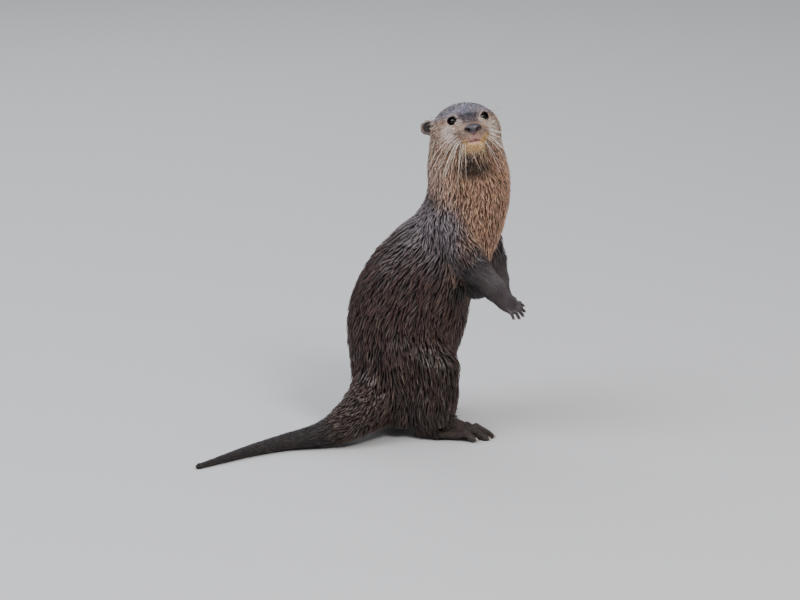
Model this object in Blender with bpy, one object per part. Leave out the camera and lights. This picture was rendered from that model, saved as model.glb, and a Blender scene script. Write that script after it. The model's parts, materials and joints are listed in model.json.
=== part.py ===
"""A small-clawed otter sitting upright on its haunches, its head turned to its right, as a still model.

The otter is one smooth body, parted with thin cuts into head, neck, trunk, tail and limbs. It is described
in millimetres as a signed distance, negative inside, then meshed, scaled to metres and set over the origin by
the middle of its base. X points the way the hips face, Y to the otter's left and Z up. The soles and the tail
rest on small flats at Z = 0.
The outline is that of the coat, out to the tips of the hair.
"""

import bmesh
import bpy
import numpy as np
from mathutils import Matrix, Vector

METRE = 0.001  # metres in one millimetre
FAR = 1000.0  # stands for any distance too great to matter
GRID = 2.2  # spacing of the grid on which the body is meshed
HEAD_GRID = 1.6  # the same at the head, hands and feet
BODY_TRIANGLES = 3920  # what the whole body is thinned to before it is parted
SHARP_ANGLE = 42.0  # degrees; edges sharper than this show as edges
JOINT_GAP = 0.3  # clear space between neighbouring parts

# Trunk, from the hips up to the back of the skull: x, y, z, half width, half depth, heading.
# The chest and neck twist towards the otter's right.
TRUNK = [
    (-42, 6, 50, 47, 46, 20),
    (-37, 6, 94, 59, 66, 18),
    (-29, 4, 144, 63, 75, 10),
    (-16, 2, 184, 61, 71, 0),
    (2, 0, 215, 57, 63, -12),
    (25, -2, 246, 53, 55, -26),
    (42, -5, 281, 52, 52, -40),
    (48, -8, 316, 52, 51, -55),
    (45, -10, 346, 50, 49, -66),
    (43, -10, 368, 43, 41, -74),
    (43, -8, 384, 30, 28, -78),
]
TAIL = [
    (-48, 0, 72, 36, 37, 205),
    (-76, -42, 46, 32, 31, 222),
    (-105, -67, 26, 24.5, 24.5, 212),
    (-138, -78, 15.5, 17, 16, 202),
    (-180, -89, 10, 12.5, 10.8, 202),
    (-222, -114, 6.8, 9, 7.4, 210),
    (-258, -144, 4.4, 6.4, 4.9, 217),
    (-283, -166, 3.0, 3.8, 3.3, 220),
]

# The head's own frame: forward out of the nose, left and up. HEAD_TURN is its heading, pitch and roll.
HEAD_CENTRE = np.array([43.0, -17.0, 390.0])
HEAD_TURN = (-82, 19, 7)
EYE = np.array([25.0, 17.4, 8.0])
EYE_RADIUS = 6.0
POCKET_GAP = 0.55  # at the corners of the faceted pocket; its flats clear the eye by 0.15
GAZE = np.array([0.9, 0.42, 0.1])
NOSE = np.array([50.0, 0.0, -5.5])
EARS = {1: (-19.0, 39.0, 9.0), -1: (-9.5, -44.2, 9.6)}
EAR_SIZE = np.array([3.7, 10.6, 9.9])
EAR_HOLLOW = np.array([3.4, 7.9, 7.2])
EAR_TURN = {1: 66, -1: -20}  # the left ear lies back against the head

# Limbs from the body outwards as x, y, z, radius, and how softly the stretches run together.
LIMBS = {
    "right_arm": (
        [
            (24, -32, 262, 27),
            (44, -52, 239, 20),
            (59, -61, 219, 15),
            (77, -67, 201, 12.5),
            (91, -71, 185, 11),
        ],
        12,
    ),
    "left_arm": (
        [
            (58, 22, 262, 26),
            (72, 34, 236, 17),
            (81, 33, 212, 13.5),
            (86, 26, 189, 11),
            (91, 18, 174, 9.8),
        ],
        12,
    ),
    "right_leg": ([(-30, -28, 100, 38), (2, -36, 86, 33), (4, -38, 52, 29), (-2, -36, 26, 22)], 14),
    "left_leg": ([(-38, 38, 100, 38), (-13, 52, 86, 33), (-18, 52, 52, 28), (-30, 43, 26, 21)], 14),
}
# Paws: wrist or heel, then heading, pitch and roll.
PAWS = {
    "right_arm": ((91, -71, 185), (-12, -34, 32)),
    "left_arm": ((91, 18, 174), (-30, -48, 0)),
    "right_leg": ((-6, -36, 9.5), (-3, -3, 0)),
    "left_leg": ((-38, 40, 9.5), (34, -3, 0)),
}
# Length and width of the palm, thickness, digit lengths, fan angle between digits, digit radius, web reach.
HAND = (14, 24, 11.5, (12, 15, 16, 15, 12.5), 20, 2.8, 6)
FOOT = (58, 36, 17, (23, 30, 33, 32, 25), 17, 5.4, 16)
INSTEP = ((4, 0, 17, 12.5), (44, 0, 5, 8))  # from above the heel to the middle of the foot, with radii
# Loose wet coat that hangs behind each elbow and down the back of each shank: its top, its bottom and
# the radius at each.
HANGING = {
    "right_arm": ((56, -44, 214), (58, -44, 198), 17, 15),
    "left_arm": ((66, 22, 220), (69, 24, 209), 16, 14),
    "right_leg": ((-32, -37, 76), (-34, -35, 31), 29, 19.5),
    "left_leg": ((-44, 43, 82), (-52, 41, 30), 25, 18),
}


def smooth_union(first, second, blend):
    """The nearer of two distances, with the crease between them filled over about `blend`."""
    share = np.clip(0.5 + 0.5 * (second - first) / blend, 0.0, 1.0)
    return second * (1 - share) + first * share - blend * share * (1 - share)


def smooth_cut(body, cutter, blend):
    """The body's distance with the cutter's inside taken away and the rim rounded."""
    return -smooth_union(-body, cutter, blend)


def unit(vector):
    vector = np.asarray(vector, float)
    return vector / np.linalg.norm(vector)


def near_box(points, low, high, margin=30.0):
    return np.all((points > low - margin) & (points < high + margin), axis=1)


def turned_frame(heading, pitch, roll):
    """Rows: forward, left and up of a frame with this heading, nose-up pitch and left-side-up roll."""
    h, p, r = np.radians([heading, pitch, roll])
    forward = np.array([np.cos(p) * np.cos(h), np.cos(p) * np.sin(h), np.sin(p)])
    level_left = np.array([-np.sin(h), np.cos(h), 0.0])
    level_up = np.cross(forward, level_left)
    left = level_left * np.cos(r) + level_up * np.sin(r)
    return np.array([forward, left, np.cross(forward, left)])


def section_distance(u, v, w, half_u, half_v, half_w):
    """Distance, to first order, from an ellipsoid with these half-sizes."""
    level = np.sqrt((u / half_u) ** 2 + (v / half_v) ** 2 + (w / half_w) ** 2)
    slope = np.sqrt((u / half_u**2) ** 2 + (v / half_v**2) ** 2 + (w / half_w**2) ** 2)
    return level * (level - 1) / np.maximum(slope, 1e-9)


def ellipsoid(points, centre, radii, axes=np.eye(3)):
    """Distance from an ellipsoid. axes holds its own three directions as rows."""
    centre = np.asarray(centre, float)
    found = np.full(len(points), FAR)
    near = near_box(points, centre - max(radii), centre + max(radii))
    if near.any():
        own = (points[near] - centre) @ np.asarray(axes).T
        found[near] = section_distance(*own.T, *radii)
    return found


def round_cone(points, start, end, start_radius, end_radius):
    """Distance from a tapered rod with round ends."""
    start, end = np.asarray(start, float), np.asarray(end, float)
    found = np.full(len(points), FAR)
    reach = max(start_radius, end_radius)
    near = near_box(points, np.minimum(start, end) - reach, np.maximum(start, end) + reach)
    if near.any():
        rod = end - start
        share = np.clip((points[near] - start) @ rod / (rod @ rod), 0, 1)
        radius = start_radius + (end_radius - start_radius) * share
        found[near] = np.linalg.norm(points[near] - start - share[:, None] * rod, axis=1) - radius
    return found


def chain_distance(points, stations, blend):
    """(distance, share of the way along) of tapered rods joined end to end."""
    found = np.full(len(points), FAR)
    nearest = np.full(len(points), FAR)
    along = np.zeros(len(points))
    count = len(stations) - 1
    stations = np.array(stations, float)
    for number, (start, end) in enumerate(zip(stations, stations[1:])):
        rod = round_cone(points, start[:3], end[:3], start[3], end[3])
        line = end[:3] - start[:3]
        share = np.clip((points - start[:3]) @ line / (line @ line), 0, 1)
        along = np.where(rod < nearest, (number + share) / count, along)
        nearest = np.minimum(nearest, rod)
        found = smooth_union(found, rod, blend)
    return found, along


def smooth_rows(rows, steps):
    """Rows of numbers joined by a Catmull-Rom curve, with `steps` samples to each gap."""
    rows = np.asarray(rows, float)
    ends = np.vstack([2 * rows[0] - rows[1], rows, 2 * rows[-1] - rows[-2]])
    t = np.linspace(0, 1, steps, endpoint=False)[:, None]
    found = []
    for a, b, c, d in zip(ends, ends[1:], ends[2:], ends[3:]):
        curve = 2 * b + (c - a) * t + (2 * a - 5 * b + 4 * c - d) * t**2
        found.append(0.5 * (curve + (3 * b - a - 3 * c + d) * t**3))
    return np.vstack([*found, rows[-1:]])


class Loft:
    """Elliptical sections along a smooth line. A section's width lies across its compass heading."""

    def __init__(self, stations, steps=16):
        rows = smooth_rows(stations, steps)
        centres = rows[:, :3]
        tangents = np.gradient(centres, axis=0)
        self.pitch = np.linalg.norm(tangents, axis=1)
        tangents /= self.pitch[:, None]
        heading = np.radians(rows[:, 5])
        across = np.stack([-np.sin(heading), np.cos(heading), 0 * heading], axis=1)
        across -= np.sum(across * tangents, axis=1, keepdims=True) * tangents
        across /= np.linalg.norm(across, axis=1, keepdims=True)
        self.table = np.hstack([centres, tangents, across, np.cross(across, tangents), rows[:, 3:5]])
        reach = rows[:, 3:5].max()
        self.low = centres.min(axis=0) - reach
        self.high = centres.max(axis=0) + reach

    def rows_at(self, at):
        low = np.minimum(at.astype(int), len(self.table) - 2)
        share = (at - low)[:, None]
        return self.table[low] * (1 - share) + self.table[low + 1] * share

    def distance(self, points):
        """(distance, share of the way along) at each point, FAR where the loft is out of reach."""
        found = np.full(len(points), FAR)
        along = np.zeros(len(points))
        near = near_box(points, self.low, self.high)
        if near.any():
            own = points[near]
            centres = self.table[:, :3]
            squares = (centres**2).sum(axis=1)[None, :] - 2 * own @ centres.T
            at = squares.argmin(axis=1).astype(float)
            last = len(self.table) - 1
            for _ in range(5):
                rows = self.rows_at(at)
                step = np.sum((own - rows[:, :3]) * rows[:, 3:6], axis=1)
                at = np.clip(at + 0.8 * step / self.pitch[np.round(at).astype(int)], 0, last)
            rows = self.rows_at(at)
            offset = own - rows[:, :3]
            beyond, across, front = (np.sum(offset * rows[:, n : n + 3], axis=1) for n in (3, 6, 9))
            width, depth = rows[:, 12], rows[:, 13]
            found[near] = section_distance(across, front, beyond, width, depth, np.minimum(width, depth))
            along[near] = at / last
        return found, along


TRUNK_LOFT = Loft(TRUNK)
TAIL_LOFT = Loft(TAIL)
HEAD_FRAME = turned_frame(*HEAD_TURN)


def to_head(points):
    return (points - HEAD_CENTRE) @ HEAD_FRAME.T


def from_head(row):
    return np.asarray(row, float) @ HEAD_FRAME + HEAD_CENTRE


def mirrored(row, side):
    return np.array([row[0], row[1] * side, row[2]])


def skull_distance(own):
    """Distance from the head without eyes, ears and nose, at points in the head's own frame."""
    head = ellipsoid(own, (-6, 0, 3), (40, 40, 29.5))
    head = smooth_union(head, ellipsoid(own, (10, 0, -6), (34, 33, 26)), 10)
    for side in (1, -1):
        head = smooth_union(head, ellipsoid(own, (0, 23.5 * side, -10), (25, 19, 21)), 12)
    head = smooth_union(head, ellipsoid(own, (26, 0, -9), (24, 23, 17)), 10)
    head = smooth_union(head, round_cone(own, (14, 0, 10), (43, 0, -1), 14, 8), 9)
    head = smooth_union(head, ellipsoid(own, (28, 0, -25), (18, 15, 10)), 6)
    for side in (1, -1):
        head = smooth_union(head, ellipsoid(own, (38, 9.5 * side, -12), (12.5, 12, 9.5)), 6)
        head = smooth_union(head, ellipsoid(own, (21, 16 * side, 13), (12, 10, 6)), 8)
    return head


def head_distance(points):
    found = np.full(len(points), FAR)
    near = near_box(points, HEAD_CENTRE - 70, HEAD_CENTRE + 70)
    own = to_head(points[near])
    head = skull_distance(own)
    for side in (1, -1):
        eye = mirrored(EYE, side)
        outward = unit(mirrored(GAZE, side))
        sideways = unit(np.cross([0, 0, 1], outward))
        gaze = np.array([outward, sideways, np.cross(outward, sideways)])
        lids = np.linalg.norm(own - eye, axis=1) - EYE_RADIUS - 1
        head = smooth_union(head, lids, 3)
        head = smooth_cut(head, ellipsoid(own, eye + outward * 7, (7, 5.6, 4.7), gaze), 1.2)
        ear_axes = turned_frame(EAR_TURN[side], 5, 0)
        ear = ellipsoid(own, EARS[side], EAR_SIZE, ear_axes)
        hollow = ellipsoid(own, EARS[side] + ear_axes[0] * 3.8, EAR_HOLLOW, ear_axes)
        head = smooth_union(head, smooth_cut(ear, hollow, 1.5), 4)
    nose = ellipsoid(own, NOSE + [0, 0, 0.4], (5.3, 12.0, 6.2))
    nose = smooth_union(nose, ellipsoid(own, NOSE - [0, 0, 2.5], (4.5, 4.6, 5.2)), 3)
    found[near] = smooth_union(head, nose, 1.5)
    return found


def paw_distance(points, wrist, turn, size):
    """Distance from a paw: a flat palm and five fanned digits, each bent at a knuckle, with webs between."""
    length, width, thickness, digits, fan, radius, web = size
    forward, left, up = frame = turned_frame(*turn)
    wrist = np.asarray(wrist, float)
    palm = (length * 0.62, width * 0.5, thickness * 0.5)
    found = ellipsoid(points, wrist + forward * length * 0.5, palm, frame)
    for number, reach in enumerate(digits):
        place = number / 2 - 1
        angle = np.radians(fan * place)
        ahead = forward * np.cos(angle) + left * np.sin(angle)
        root = wrist + forward * length * (0.86 - 0.18 * place**2) + left * place * width * 0.36
        knuckle = root + ahead * reach * 0.5 + up * reach * 0.17
        tip = root + ahead * reach - up * reach * 0.09
        digit = smooth_union(
            round_cone(points, root, knuckle, radius, radius * 0.92),
            round_cone(points, knuckle, tip, radius * 0.92, radius * 0.86),
            1.5,
        )
        found = smooth_union(found, digit, 2.2)
    sheet = ellipsoid(points, wrist + forward * length, (web, width * 0.52, 1.3), frame)
    return smooth_union(found, sheet, 2.0)


def heel_distance(points, heel, turn):
    """Distance from a hind foot's heel and instep."""
    frame = turned_frame(turn[0], 0, 0)
    heel = np.array(heel, float)
    start, end = (heel + np.array(row[:3]) @ frame for row in INSTEP)
    instep = round_cone(points, start, end, INSTEP[0][3], INSTEP[1][3])
    return smooth_union(ellipsoid(points, heel - [0, 0, 0.5], (13, 12, 10)), instep, 6)


def body_distance(points):
    """Distance from the whole otter."""
    found, _ = TRUNK_LOFT.distance(points)
    found = smooth_union(found, head_distance(points), 18)
    tail, along = TAIL_LOFT.distance(points)
    found = smooth_union(found, tail, 30 - 26 * along)
    for name, (stations, blend) in LIMBS.items():
        limb, along = chain_distance(points, stations, blend)
        limb = smooth_union(limb, round_cone(points, *HANGING[name]), 10)
        is_arm = name.endswith("arm")
        limb = smooth_union(limb, paw_distance(points, *PAWS[name], HAND if is_arm else FOOT), 6)
        if is_arm:
            root_blend = 16 * (1 - 1.25 * along)
        else:
            limb = smooth_union(limb, heel_distance(points, *PAWS[name]), 5)
            root_blend = 28 * (1 - 0.9 * along)
        found = smooth_union(found, limb, np.maximum(root_blend, 3))
    return found


def split_corners():
    """The cube corner patterns, out of 256, whose inside or outside corners fall in two or more groups."""
    corners = [(i, j, k) for i in (0, 1) for j in (0, 1) for k in (0, 1)]
    steps = [[sum(abs(p - q) for p, q in zip(first, second)) for second in corners] for first in corners]
    links = [[number for number, far in enumerate(row) if far == 1] for row in steps]
    split = np.zeros(256, bool)
    for pattern in range(1, 255):
        for wanted in (0, 1):
            group = [n for n in range(8) if (pattern >> n & 1) == wanted]
            seen = {group[0]}
            queue = [group[0]]
            while queue:
                for other in links[queue.pop()]:
                    if other in group and other not in seen:
                        seen.add(other)
                        queue.append(other)
            split[pattern] |= len(seen) < len(group)
    return split


def fill_pinches(values):
    """Fills each cell in which the surface would touch itself, so that the mesh is closed and single."""
    split = split_corners()
    cells = np.array(values.shape) - 1
    while True:
        pattern = np.zeros(cells, np.uint8)
        for number in range(8):
            i, j, k = number >> 2 & 1, number >> 1 & 1, number & 1
            solid = values[i : i + cells[0], j : j + cells[1], k : k + cells[2]] < 0
            pattern |= solid.astype(np.uint8) << number
        at = np.argwhere(split[pattern])
        if not len(at):
            return
        for number in range(8):
            spot = tuple((at + [number >> 2 & 1, number >> 1 & 1, number & 1]).T)
            values[spot] = np.minimum(values[spot], -0.02)


def spaced(*stops):
    """Grid positions along one axis from (position, spacing from here on) stops; the last one ends it."""
    found = []
    for (start, gap), (end, _) in zip(stops, stops[1:]):
        found.append(np.linspace(start, end, round((end - start) / gap) + 1)[:-1])
    return np.concatenate([*found, [stops[-1][0]]])


def sample_grid(distance, axes, block=8):
    """The distance at each grid point near the surface, and plus or minus FAR at the rest."""
    last = np.array([len(axis) for axis in axes]) - 1
    values = np.full(last + 1, FAR, np.float32)
    starts = [np.arange(0, count, block) for count in last]
    tiles = np.stack(np.meshgrid(*starts, indexing="ij"), -1).reshape(-1, 3)
    low = np.stack([axes[n][tiles[:, n]] for n in range(3)], 1)
    high = np.stack([axes[n][np.minimum(tiles[:, n] + block, last[n])] for n in range(3)], 1)
    middle = distance((low + high) / 2)
    reach = np.linalg.norm(high - low, axis=1) * 0.85
    for tile in tiles[middle < -reach]:
        i, j, k = np.minimum(tile + block, last) + 1
        values[tile[0] : i, tile[1] : j, tile[2] : k] = -FAR
    kept = tiles[np.abs(middle) <= reach]
    offsets = np.stack(np.meshgrid(*[np.arange(block + 1)] * 3, indexing="ij"), -1).reshape(-1, 3)
    for start in range(0, len(kept), 300):
        index = np.minimum((kept[start : start + 300, None] + offsets).reshape(-1, 3), last)
        values[tuple(index.T)] = distance(np.stack([axes[n][index[:, n]] for n in range(3)], 1))
    return values


def grid_mesh(distance, axes):
    """(points, quads) of the surface where distance is 0: one point in each grid cell that the surface
    crosses, and one quad round each grid edge that it crosses."""
    values = sample_grid(distance, axes)
    fill_pinches(values)
    solid = values < 0
    cells = np.array(values.shape) - 1
    total = np.zeros((*cells, 3), np.float32)
    hits = np.zeros(cells, np.int32)
    crossings = []
    for axis in range(3):
        first, second = [slice(None)] * 3, [slice(None)] * 3
        first[axis], second[axis] = slice(0, -1), slice(1, None)
        first, second = tuple(first), tuple(second)
        crossed = solid[first] != solid[second]
        at = np.argwhere(crossed)
        before, after = values[first][crossed], values[second][crossed]
        place = np.stack([axes[n][at[:, n]] for n in range(3)], 1)
        gap = axes[axis][at[:, axis] + 1] - axes[axis][at[:, axis]]
        place[:, axis] += gap * np.clip(before / (before - after), 0.02, 0.98)
        ring = []
        for du, dv in ((1, 1), (0, 1), (0, 0), (1, 0)):
            cell = at.copy()
            cell[:, (axis + 1) % 3] -= du
            cell[:, (axis + 2) % 3] -= dv
            spot = tuple(cell.T)
            np.add.at(total, spot, place)
            np.add.at(hits, spot, 1)
            ring.append(cell)
        crossings.append((ring, before < 0))
    number = np.full(hits.shape, -1, np.int64)
    number[hits > 0] = np.arange((hits > 0).sum())
    points = total[hits > 0] / hits[hits > 0][:, None]
    quads = []
    for ring, enters in crossings:
        faces = np.stack([number[tuple(cell.T)] for cell in ring], axis=1)
        faces[~enters] = faces[~enters][:, ::-1]
        quads.append(faces)
    return points, np.concatenate(quads)


def new_object(name, mesh):
    made = bpy.data.objects.new(name, mesh)
    bpy.context.scene.collection.objects.link(made)
    return made


def evaluated_copy(source, name):
    """A new object with the source's modifiers applied."""
    graph = bpy.context.evaluated_depsgraph_get()
    mesh = bpy.data.meshes.new_from_object(source.evaluated_get(graph))
    mesh.name = name
    return new_object(name, mesh)


def remove(target):
    bpy.data.objects.remove(target, do_unlink=True)


def boolean(target, cutter, operation):
    """Replaces the target's mesh with the outcome, and keeps the cutter."""
    change = target.modifiers.new("change", "BOOLEAN")
    change.operation = operation
    change.solver = "EXACT"
    change.object = cutter
    bpy.context.view_layer.update()
    graph = bpy.context.evaluated_depsgraph_get()
    mesh = bpy.data.meshes.new_from_object(target.evaluated_get(graph))
    target.modifiers.clear()
    target.data = mesh


def ball_region(centre, radii, axes=np.eye(3)):
    """A faceted ellipsoid that marks off a part. axes holds its own directions as rows."""
    built = bmesh.new()
    bmesh.ops.create_icosphere(built, subdivisions=2, radius=1)
    return region_object(built, centre, radii, axes)


def box_region(centre, halves, axes=np.eye(3)):
    built = bmesh.new()
    bmesh.ops.create_cube(built, size=2)
    return region_object(built, centre, halves, axes)


def beyond_region(point, direction, reach=400):
    """A box that marks off all that lies beyond a plane, in the way that direction points."""
    ahead = unit(direction)
    side = unit(np.cross(ahead, [0.3, 0.5, 0.8]))
    axes = np.array([ahead, side, np.cross(ahead, side)])
    return box_region(np.asarray(point, float) + ahead * reach, (reach, reach, reach), axes)


def region_object(built, centre, halves, axes):
    """The region, and the same region grown by the gap between parts."""
    found = []
    for growth in (0, JOINT_GAP):
        grown = built.copy()
        for vertex in grown.verts:
            own = np.array(vertex.co) * (np.asarray(halves, float) + growth)
            vertex.co = Vector((own @ np.asarray(axes) + centre) * METRE)
        mesh = bpy.data.meshes.new("region")
        grown.to_mesh(mesh)
        grown.free()
        found.append(new_object("region", mesh))
    built.free()
    return found


def peel(rest, name, region):
    """Takes the part of the body inside the region off as its own object, leaving a thin gap."""
    inner, grown = region
    part = new_object(name, rest.data.copy())
    boolean(part, inner, "INTERSECT")
    boolean(rest, grown, "DIFFERENCE")
    remove(inner)
    remove(grown)
    return part


def keep_largest(part):
    """Drops stray crumbs, so that the part is one closed body."""
    built = bmesh.new()
    built.from_mesh(part.data)
    unseen = set(built.faces)
    groups = []
    while unseen:
        queue = [unseen.pop()]
        group = list(queue)
        while queue:
            for edge in queue.pop().edges:
                for face in edge.link_faces:
                    if face in unseen:
                        unseen.remove(face)
                        queue.append(face)
                        group.append(face)
        groups.append(group)
    groups.sort(key=len)
    for group in groups[:-1]:
        bmesh.ops.delete(built, geom=group, context="FACES")
    bmesh.ops.triangulate(built, faces=built.faces[:])
    bmesh.ops.remove_doubles(built, verts=built.verts[:], dist=0.00001)
    bmesh.ops.dissolve_degenerate(built, edges=built.edges[:], dist=0.00002)
    loose = [vertex for vertex in built.verts if not vertex.link_faces]
    bmesh.ops.delete(built, geom=loose, context="VERTS")
    bmesh.ops.triangulate(built, faces=built.faces[:])
    built.to_mesh(part.data)
    built.free()


def body_object():
    """The whole otter as one mesh, thinned to the triangle budget and levelled where it rests."""
    axes = (
        spaced((-292, GRID), (-16, HEAD_GRID), (126, HEAD_GRID)),
        spaced((-176, GRID), (-84, HEAD_GRID), (44, GRID), (100, GRID)),
        spaced(
            (-10, HEAD_GRID), (30, GRID), (160, HEAD_GRID), (200, GRID), (350, HEAD_GRID), (430, HEAD_GRID)
        ),
    )
    points, quads = grid_mesh(body_distance, axes)
    mesh = bpy.data.meshes.new("whole")
    mesh.from_pydata((points * METRE).tolist(), [], quads.tolist())
    whole = new_object("whole", mesh)
    thin = whole.modifiers.new("thin", "DECIMATE")
    thin.ratio = BODY_TRIANGLES / (2 * len(quads))
    thin.use_collapse_triangulate = True
    rest = evaluated_copy(whole, "rest")
    remove(whole)
    floor = beyond_region((0, 0, 0), (0, 0, -1))
    boolean(rest, floor[0], "DIFFERENCE")
    for block in floor:
        remove(block)
    return rest


def eye_object(name, side):
    built = bmesh.new()
    bmesh.ops.create_uvsphere(built, u_segments=16, v_segments=10, radius=EYE_RADIUS * METRE)
    mesh = bpy.data.meshes.new(name)
    built.to_mesh(mesh)
    built.free()
    mesh.transform(Matrix.Translation(Vector(from_head(mirrored(EYE, side)) * METRE)))
    return new_object(name, mesh)


def paint(part, name, colour, roughness):
    material = bpy.data.materials.get(name)
    if material is None:
        material = bpy.data.materials.new(name)
        material.use_nodes = True
        shader = material.node_tree.nodes["Principled BSDF"]
        shader.inputs["Base Color"].default_value = (*colour, 1)
        shader.inputs["Roughness"].default_value = roughness
        shader.inputs["Metallic"].default_value = 0
    part.data.materials.clear()
    part.data.materials.append(material)


def joint_plane(limb, number, share=0.5):
    """A point on a limb's line and the direction outwards along it."""
    stations = LIMBS[limb][0]
    start, end = np.array(stations[number][:3], float), np.array(stations[number + 1][:3], float)
    return start + (end - start) * share, end - start


def limb_box(limb, number, share, halves):
    """A box round all of a limb beyond one place on it. halves are its length, width and height."""
    point, ahead = joint_plane(limb, number, share)
    ahead = unit(ahead)
    side = unit(np.cross([0, 0, 1], ahead)) if abs(ahead[2]) < 0.95 else np.array([0, 1.0, 0])
    axes = np.array([ahead, side, np.cross(ahead, side)])
    return box_region(point + ahead * halves[0], halves, axes)


def main():
    for old in list(bpy.data.objects):
        remove(old)
    rest = body_object()
    parts = {}

    def take(name, region):
        parts[name] = peel(rest, name, region)

    take("nose", ball_region(from_head(NOSE + [0.5, 0, -1]), (7, 13.2, 8.7), HEAD_FRAME))
    for side, word in ((1, "left"), (-1, "right")):
        ear_axes = turned_frame(EAR_TURN[side], 5, 0) @ HEAD_FRAME
        outside = from_head(np.array(EARS[side]) + [0, 6 * side, 0.5])
        take(f"ear_{word}", box_region(outside, (7, 10, 13), ear_axes))
    take("lower_jaw", ball_region(from_head((29, 0, -32)), (22, 17, 12.5), HEAD_FRAME))
    for side, word in ((-1, "right"), (1, "left")):
        arm, leg = f"{word}_arm", f"{word}_leg"
        take(f"hand_{word}", limb_box(arm, 3, 0.85, (32, 26, 22)))
        take(f"forearm_{word}", limb_box(arm, 1, 0.75, (34, 22, 20)))
        take(f"upper_arm_{word}", limb_box(arm, 0, 0.7, (24, 25, 31)))
        heel = np.array(LIMBS[leg][0][3][:3], float)
        foot_axes = turned_frame(PAWS[leg][1][0], 0, 0)
        sole = heel + foot_axes[0] * 32 + [0, 0, -26]
        take(f"foot_{word}", box_region(sole, (60, 27, 20), foot_axes))
        shin = (heel + LIMBS[leg][0][2][:3]) / 2 + [2, 7 * side, 2]
        take(f"shank_{word}", box_region(shin, (34, 29, 32), foot_axes))
        hip = np.array(LIMBS[leg][0][1][:3])
        take(f"thigh_{word}", ball_region(hip + [-4, 10 * side, 4], (46, 34, 42)))
    take("head", beyond_region((45, -9, 360), (0.05, 0.25, 1)))
    take("neck", beyond_region((44, -6, 292), (0.25, -0.08, 1)))
    take("tail_tip", beyond_region((-222, -114, 7), (-0.8, -0.55, -0.05)))
    take("tail_middle", beyond_region((-138, -78, 16), (-0.95, -0.28, -0.1)))
    take("tail_base", beyond_region((-79, -40, 45), (-0.75, -0.62, -0.4)))
    take("chest", beyond_region((-3, 0, 206), (0.45, 0, 1)))
    take("abdomen", beyond_region((-33, 5, 118), (0.12, 0, 1)))
    parts["hips"] = rest
    rest.name = "hips"

    for side, word in ((1, "left"), (-1, "right")):
        eye = eye_object(f"eye_{word}", side)
        centre = from_head(mirrored(EYE, side))
        pocket = ball_region(centre, [EYE_RADIUS + POCKET_GAP] * 3)
        boolean(parts["head"], pocket[0], "DIFFERENCE")
        for block in pocket:
            remove(block)
        parts[f"eye_{word}"] = eye

    meshes = [part.data for part in parts.values()]
    corners = np.array([tuple(vertex.co) for mesh in meshes for vertex in mesh.vertices])
    middle = (corners.min(axis=0) + corners.max(axis=0)) / 2
    to_origin = Matrix.Translation((-middle[0], -middle[1], 0))
    for name, part in parts.items():
        part.data.transform(to_origin)
        part.name = name
        part.data.name = name
        if not name.startswith("eye"):
            keep_largest(part)
        part.data.shade_smooth()
        part.data.set_sharp_from_angle(angle=np.radians(SHARP_ANGLE))
        if name.startswith("eye"):
            paint(part, "eye", (0.01, 0.007, 0.005), 0.05)
        elif name == "nose":
            paint(part, "nose", (0.06, 0.045, 0.05), 0.35)
        elif name == "lower_jaw":
            paint(part, "lip", (0.45, 0.3, 0.16), 0.6)
        elif name.startswith(("hand", "foot")):
            paint(part, "paw", (0.07, 0.05, 0.045), 0.55)
        elif name in ("neck", "chest"):
            paint(part, "throat_coat", (0.16, 0.1, 0.075), 0.5)
        else:
            paint(part, "coat", (0.06, 0.045, 0.04), 0.45)


main()
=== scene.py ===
"""The looks of a small-clawed otter standing upright: skin, wet coat, eyes, nose, claws and whiskers.

The body is the signed distance that the solids were made from, in millimetres and in the frame that they
were made in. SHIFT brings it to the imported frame. The skin lies inside that outline by the depth of the coat,
and locks of hair rise from it, along the lie of the coat, to the outline again.
"""

import itertools
import json
import math

import bmesh
import bpy
import numpy as np
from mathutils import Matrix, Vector
from mathutils.bvhtree import BVHTree

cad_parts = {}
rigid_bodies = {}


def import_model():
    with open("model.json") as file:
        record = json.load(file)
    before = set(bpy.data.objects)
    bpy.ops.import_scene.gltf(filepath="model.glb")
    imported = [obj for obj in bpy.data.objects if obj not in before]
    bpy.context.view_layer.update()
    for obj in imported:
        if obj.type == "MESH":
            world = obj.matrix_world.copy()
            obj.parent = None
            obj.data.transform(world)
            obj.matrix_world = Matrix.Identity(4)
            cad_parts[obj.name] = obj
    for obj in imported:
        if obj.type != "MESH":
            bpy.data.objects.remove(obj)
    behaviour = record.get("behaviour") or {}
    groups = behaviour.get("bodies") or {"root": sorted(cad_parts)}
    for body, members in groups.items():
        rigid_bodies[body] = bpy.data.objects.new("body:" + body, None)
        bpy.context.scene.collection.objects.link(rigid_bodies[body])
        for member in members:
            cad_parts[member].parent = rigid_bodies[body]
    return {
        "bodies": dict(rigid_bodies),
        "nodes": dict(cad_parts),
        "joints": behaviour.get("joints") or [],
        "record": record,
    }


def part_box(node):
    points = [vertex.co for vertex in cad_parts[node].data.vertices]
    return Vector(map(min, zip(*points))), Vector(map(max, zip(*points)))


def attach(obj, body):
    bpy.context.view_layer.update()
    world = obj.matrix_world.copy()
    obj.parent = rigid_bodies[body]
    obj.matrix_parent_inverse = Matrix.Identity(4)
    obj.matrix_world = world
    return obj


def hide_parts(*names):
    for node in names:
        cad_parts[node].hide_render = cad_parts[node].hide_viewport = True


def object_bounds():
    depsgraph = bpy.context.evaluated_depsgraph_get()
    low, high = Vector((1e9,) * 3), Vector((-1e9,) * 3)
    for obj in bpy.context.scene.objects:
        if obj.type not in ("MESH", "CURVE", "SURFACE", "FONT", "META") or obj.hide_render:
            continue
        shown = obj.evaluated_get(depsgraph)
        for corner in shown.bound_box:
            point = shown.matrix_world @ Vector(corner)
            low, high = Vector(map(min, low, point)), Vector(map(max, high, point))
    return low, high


METRE = 0.001  # metres in one millimetre
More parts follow.
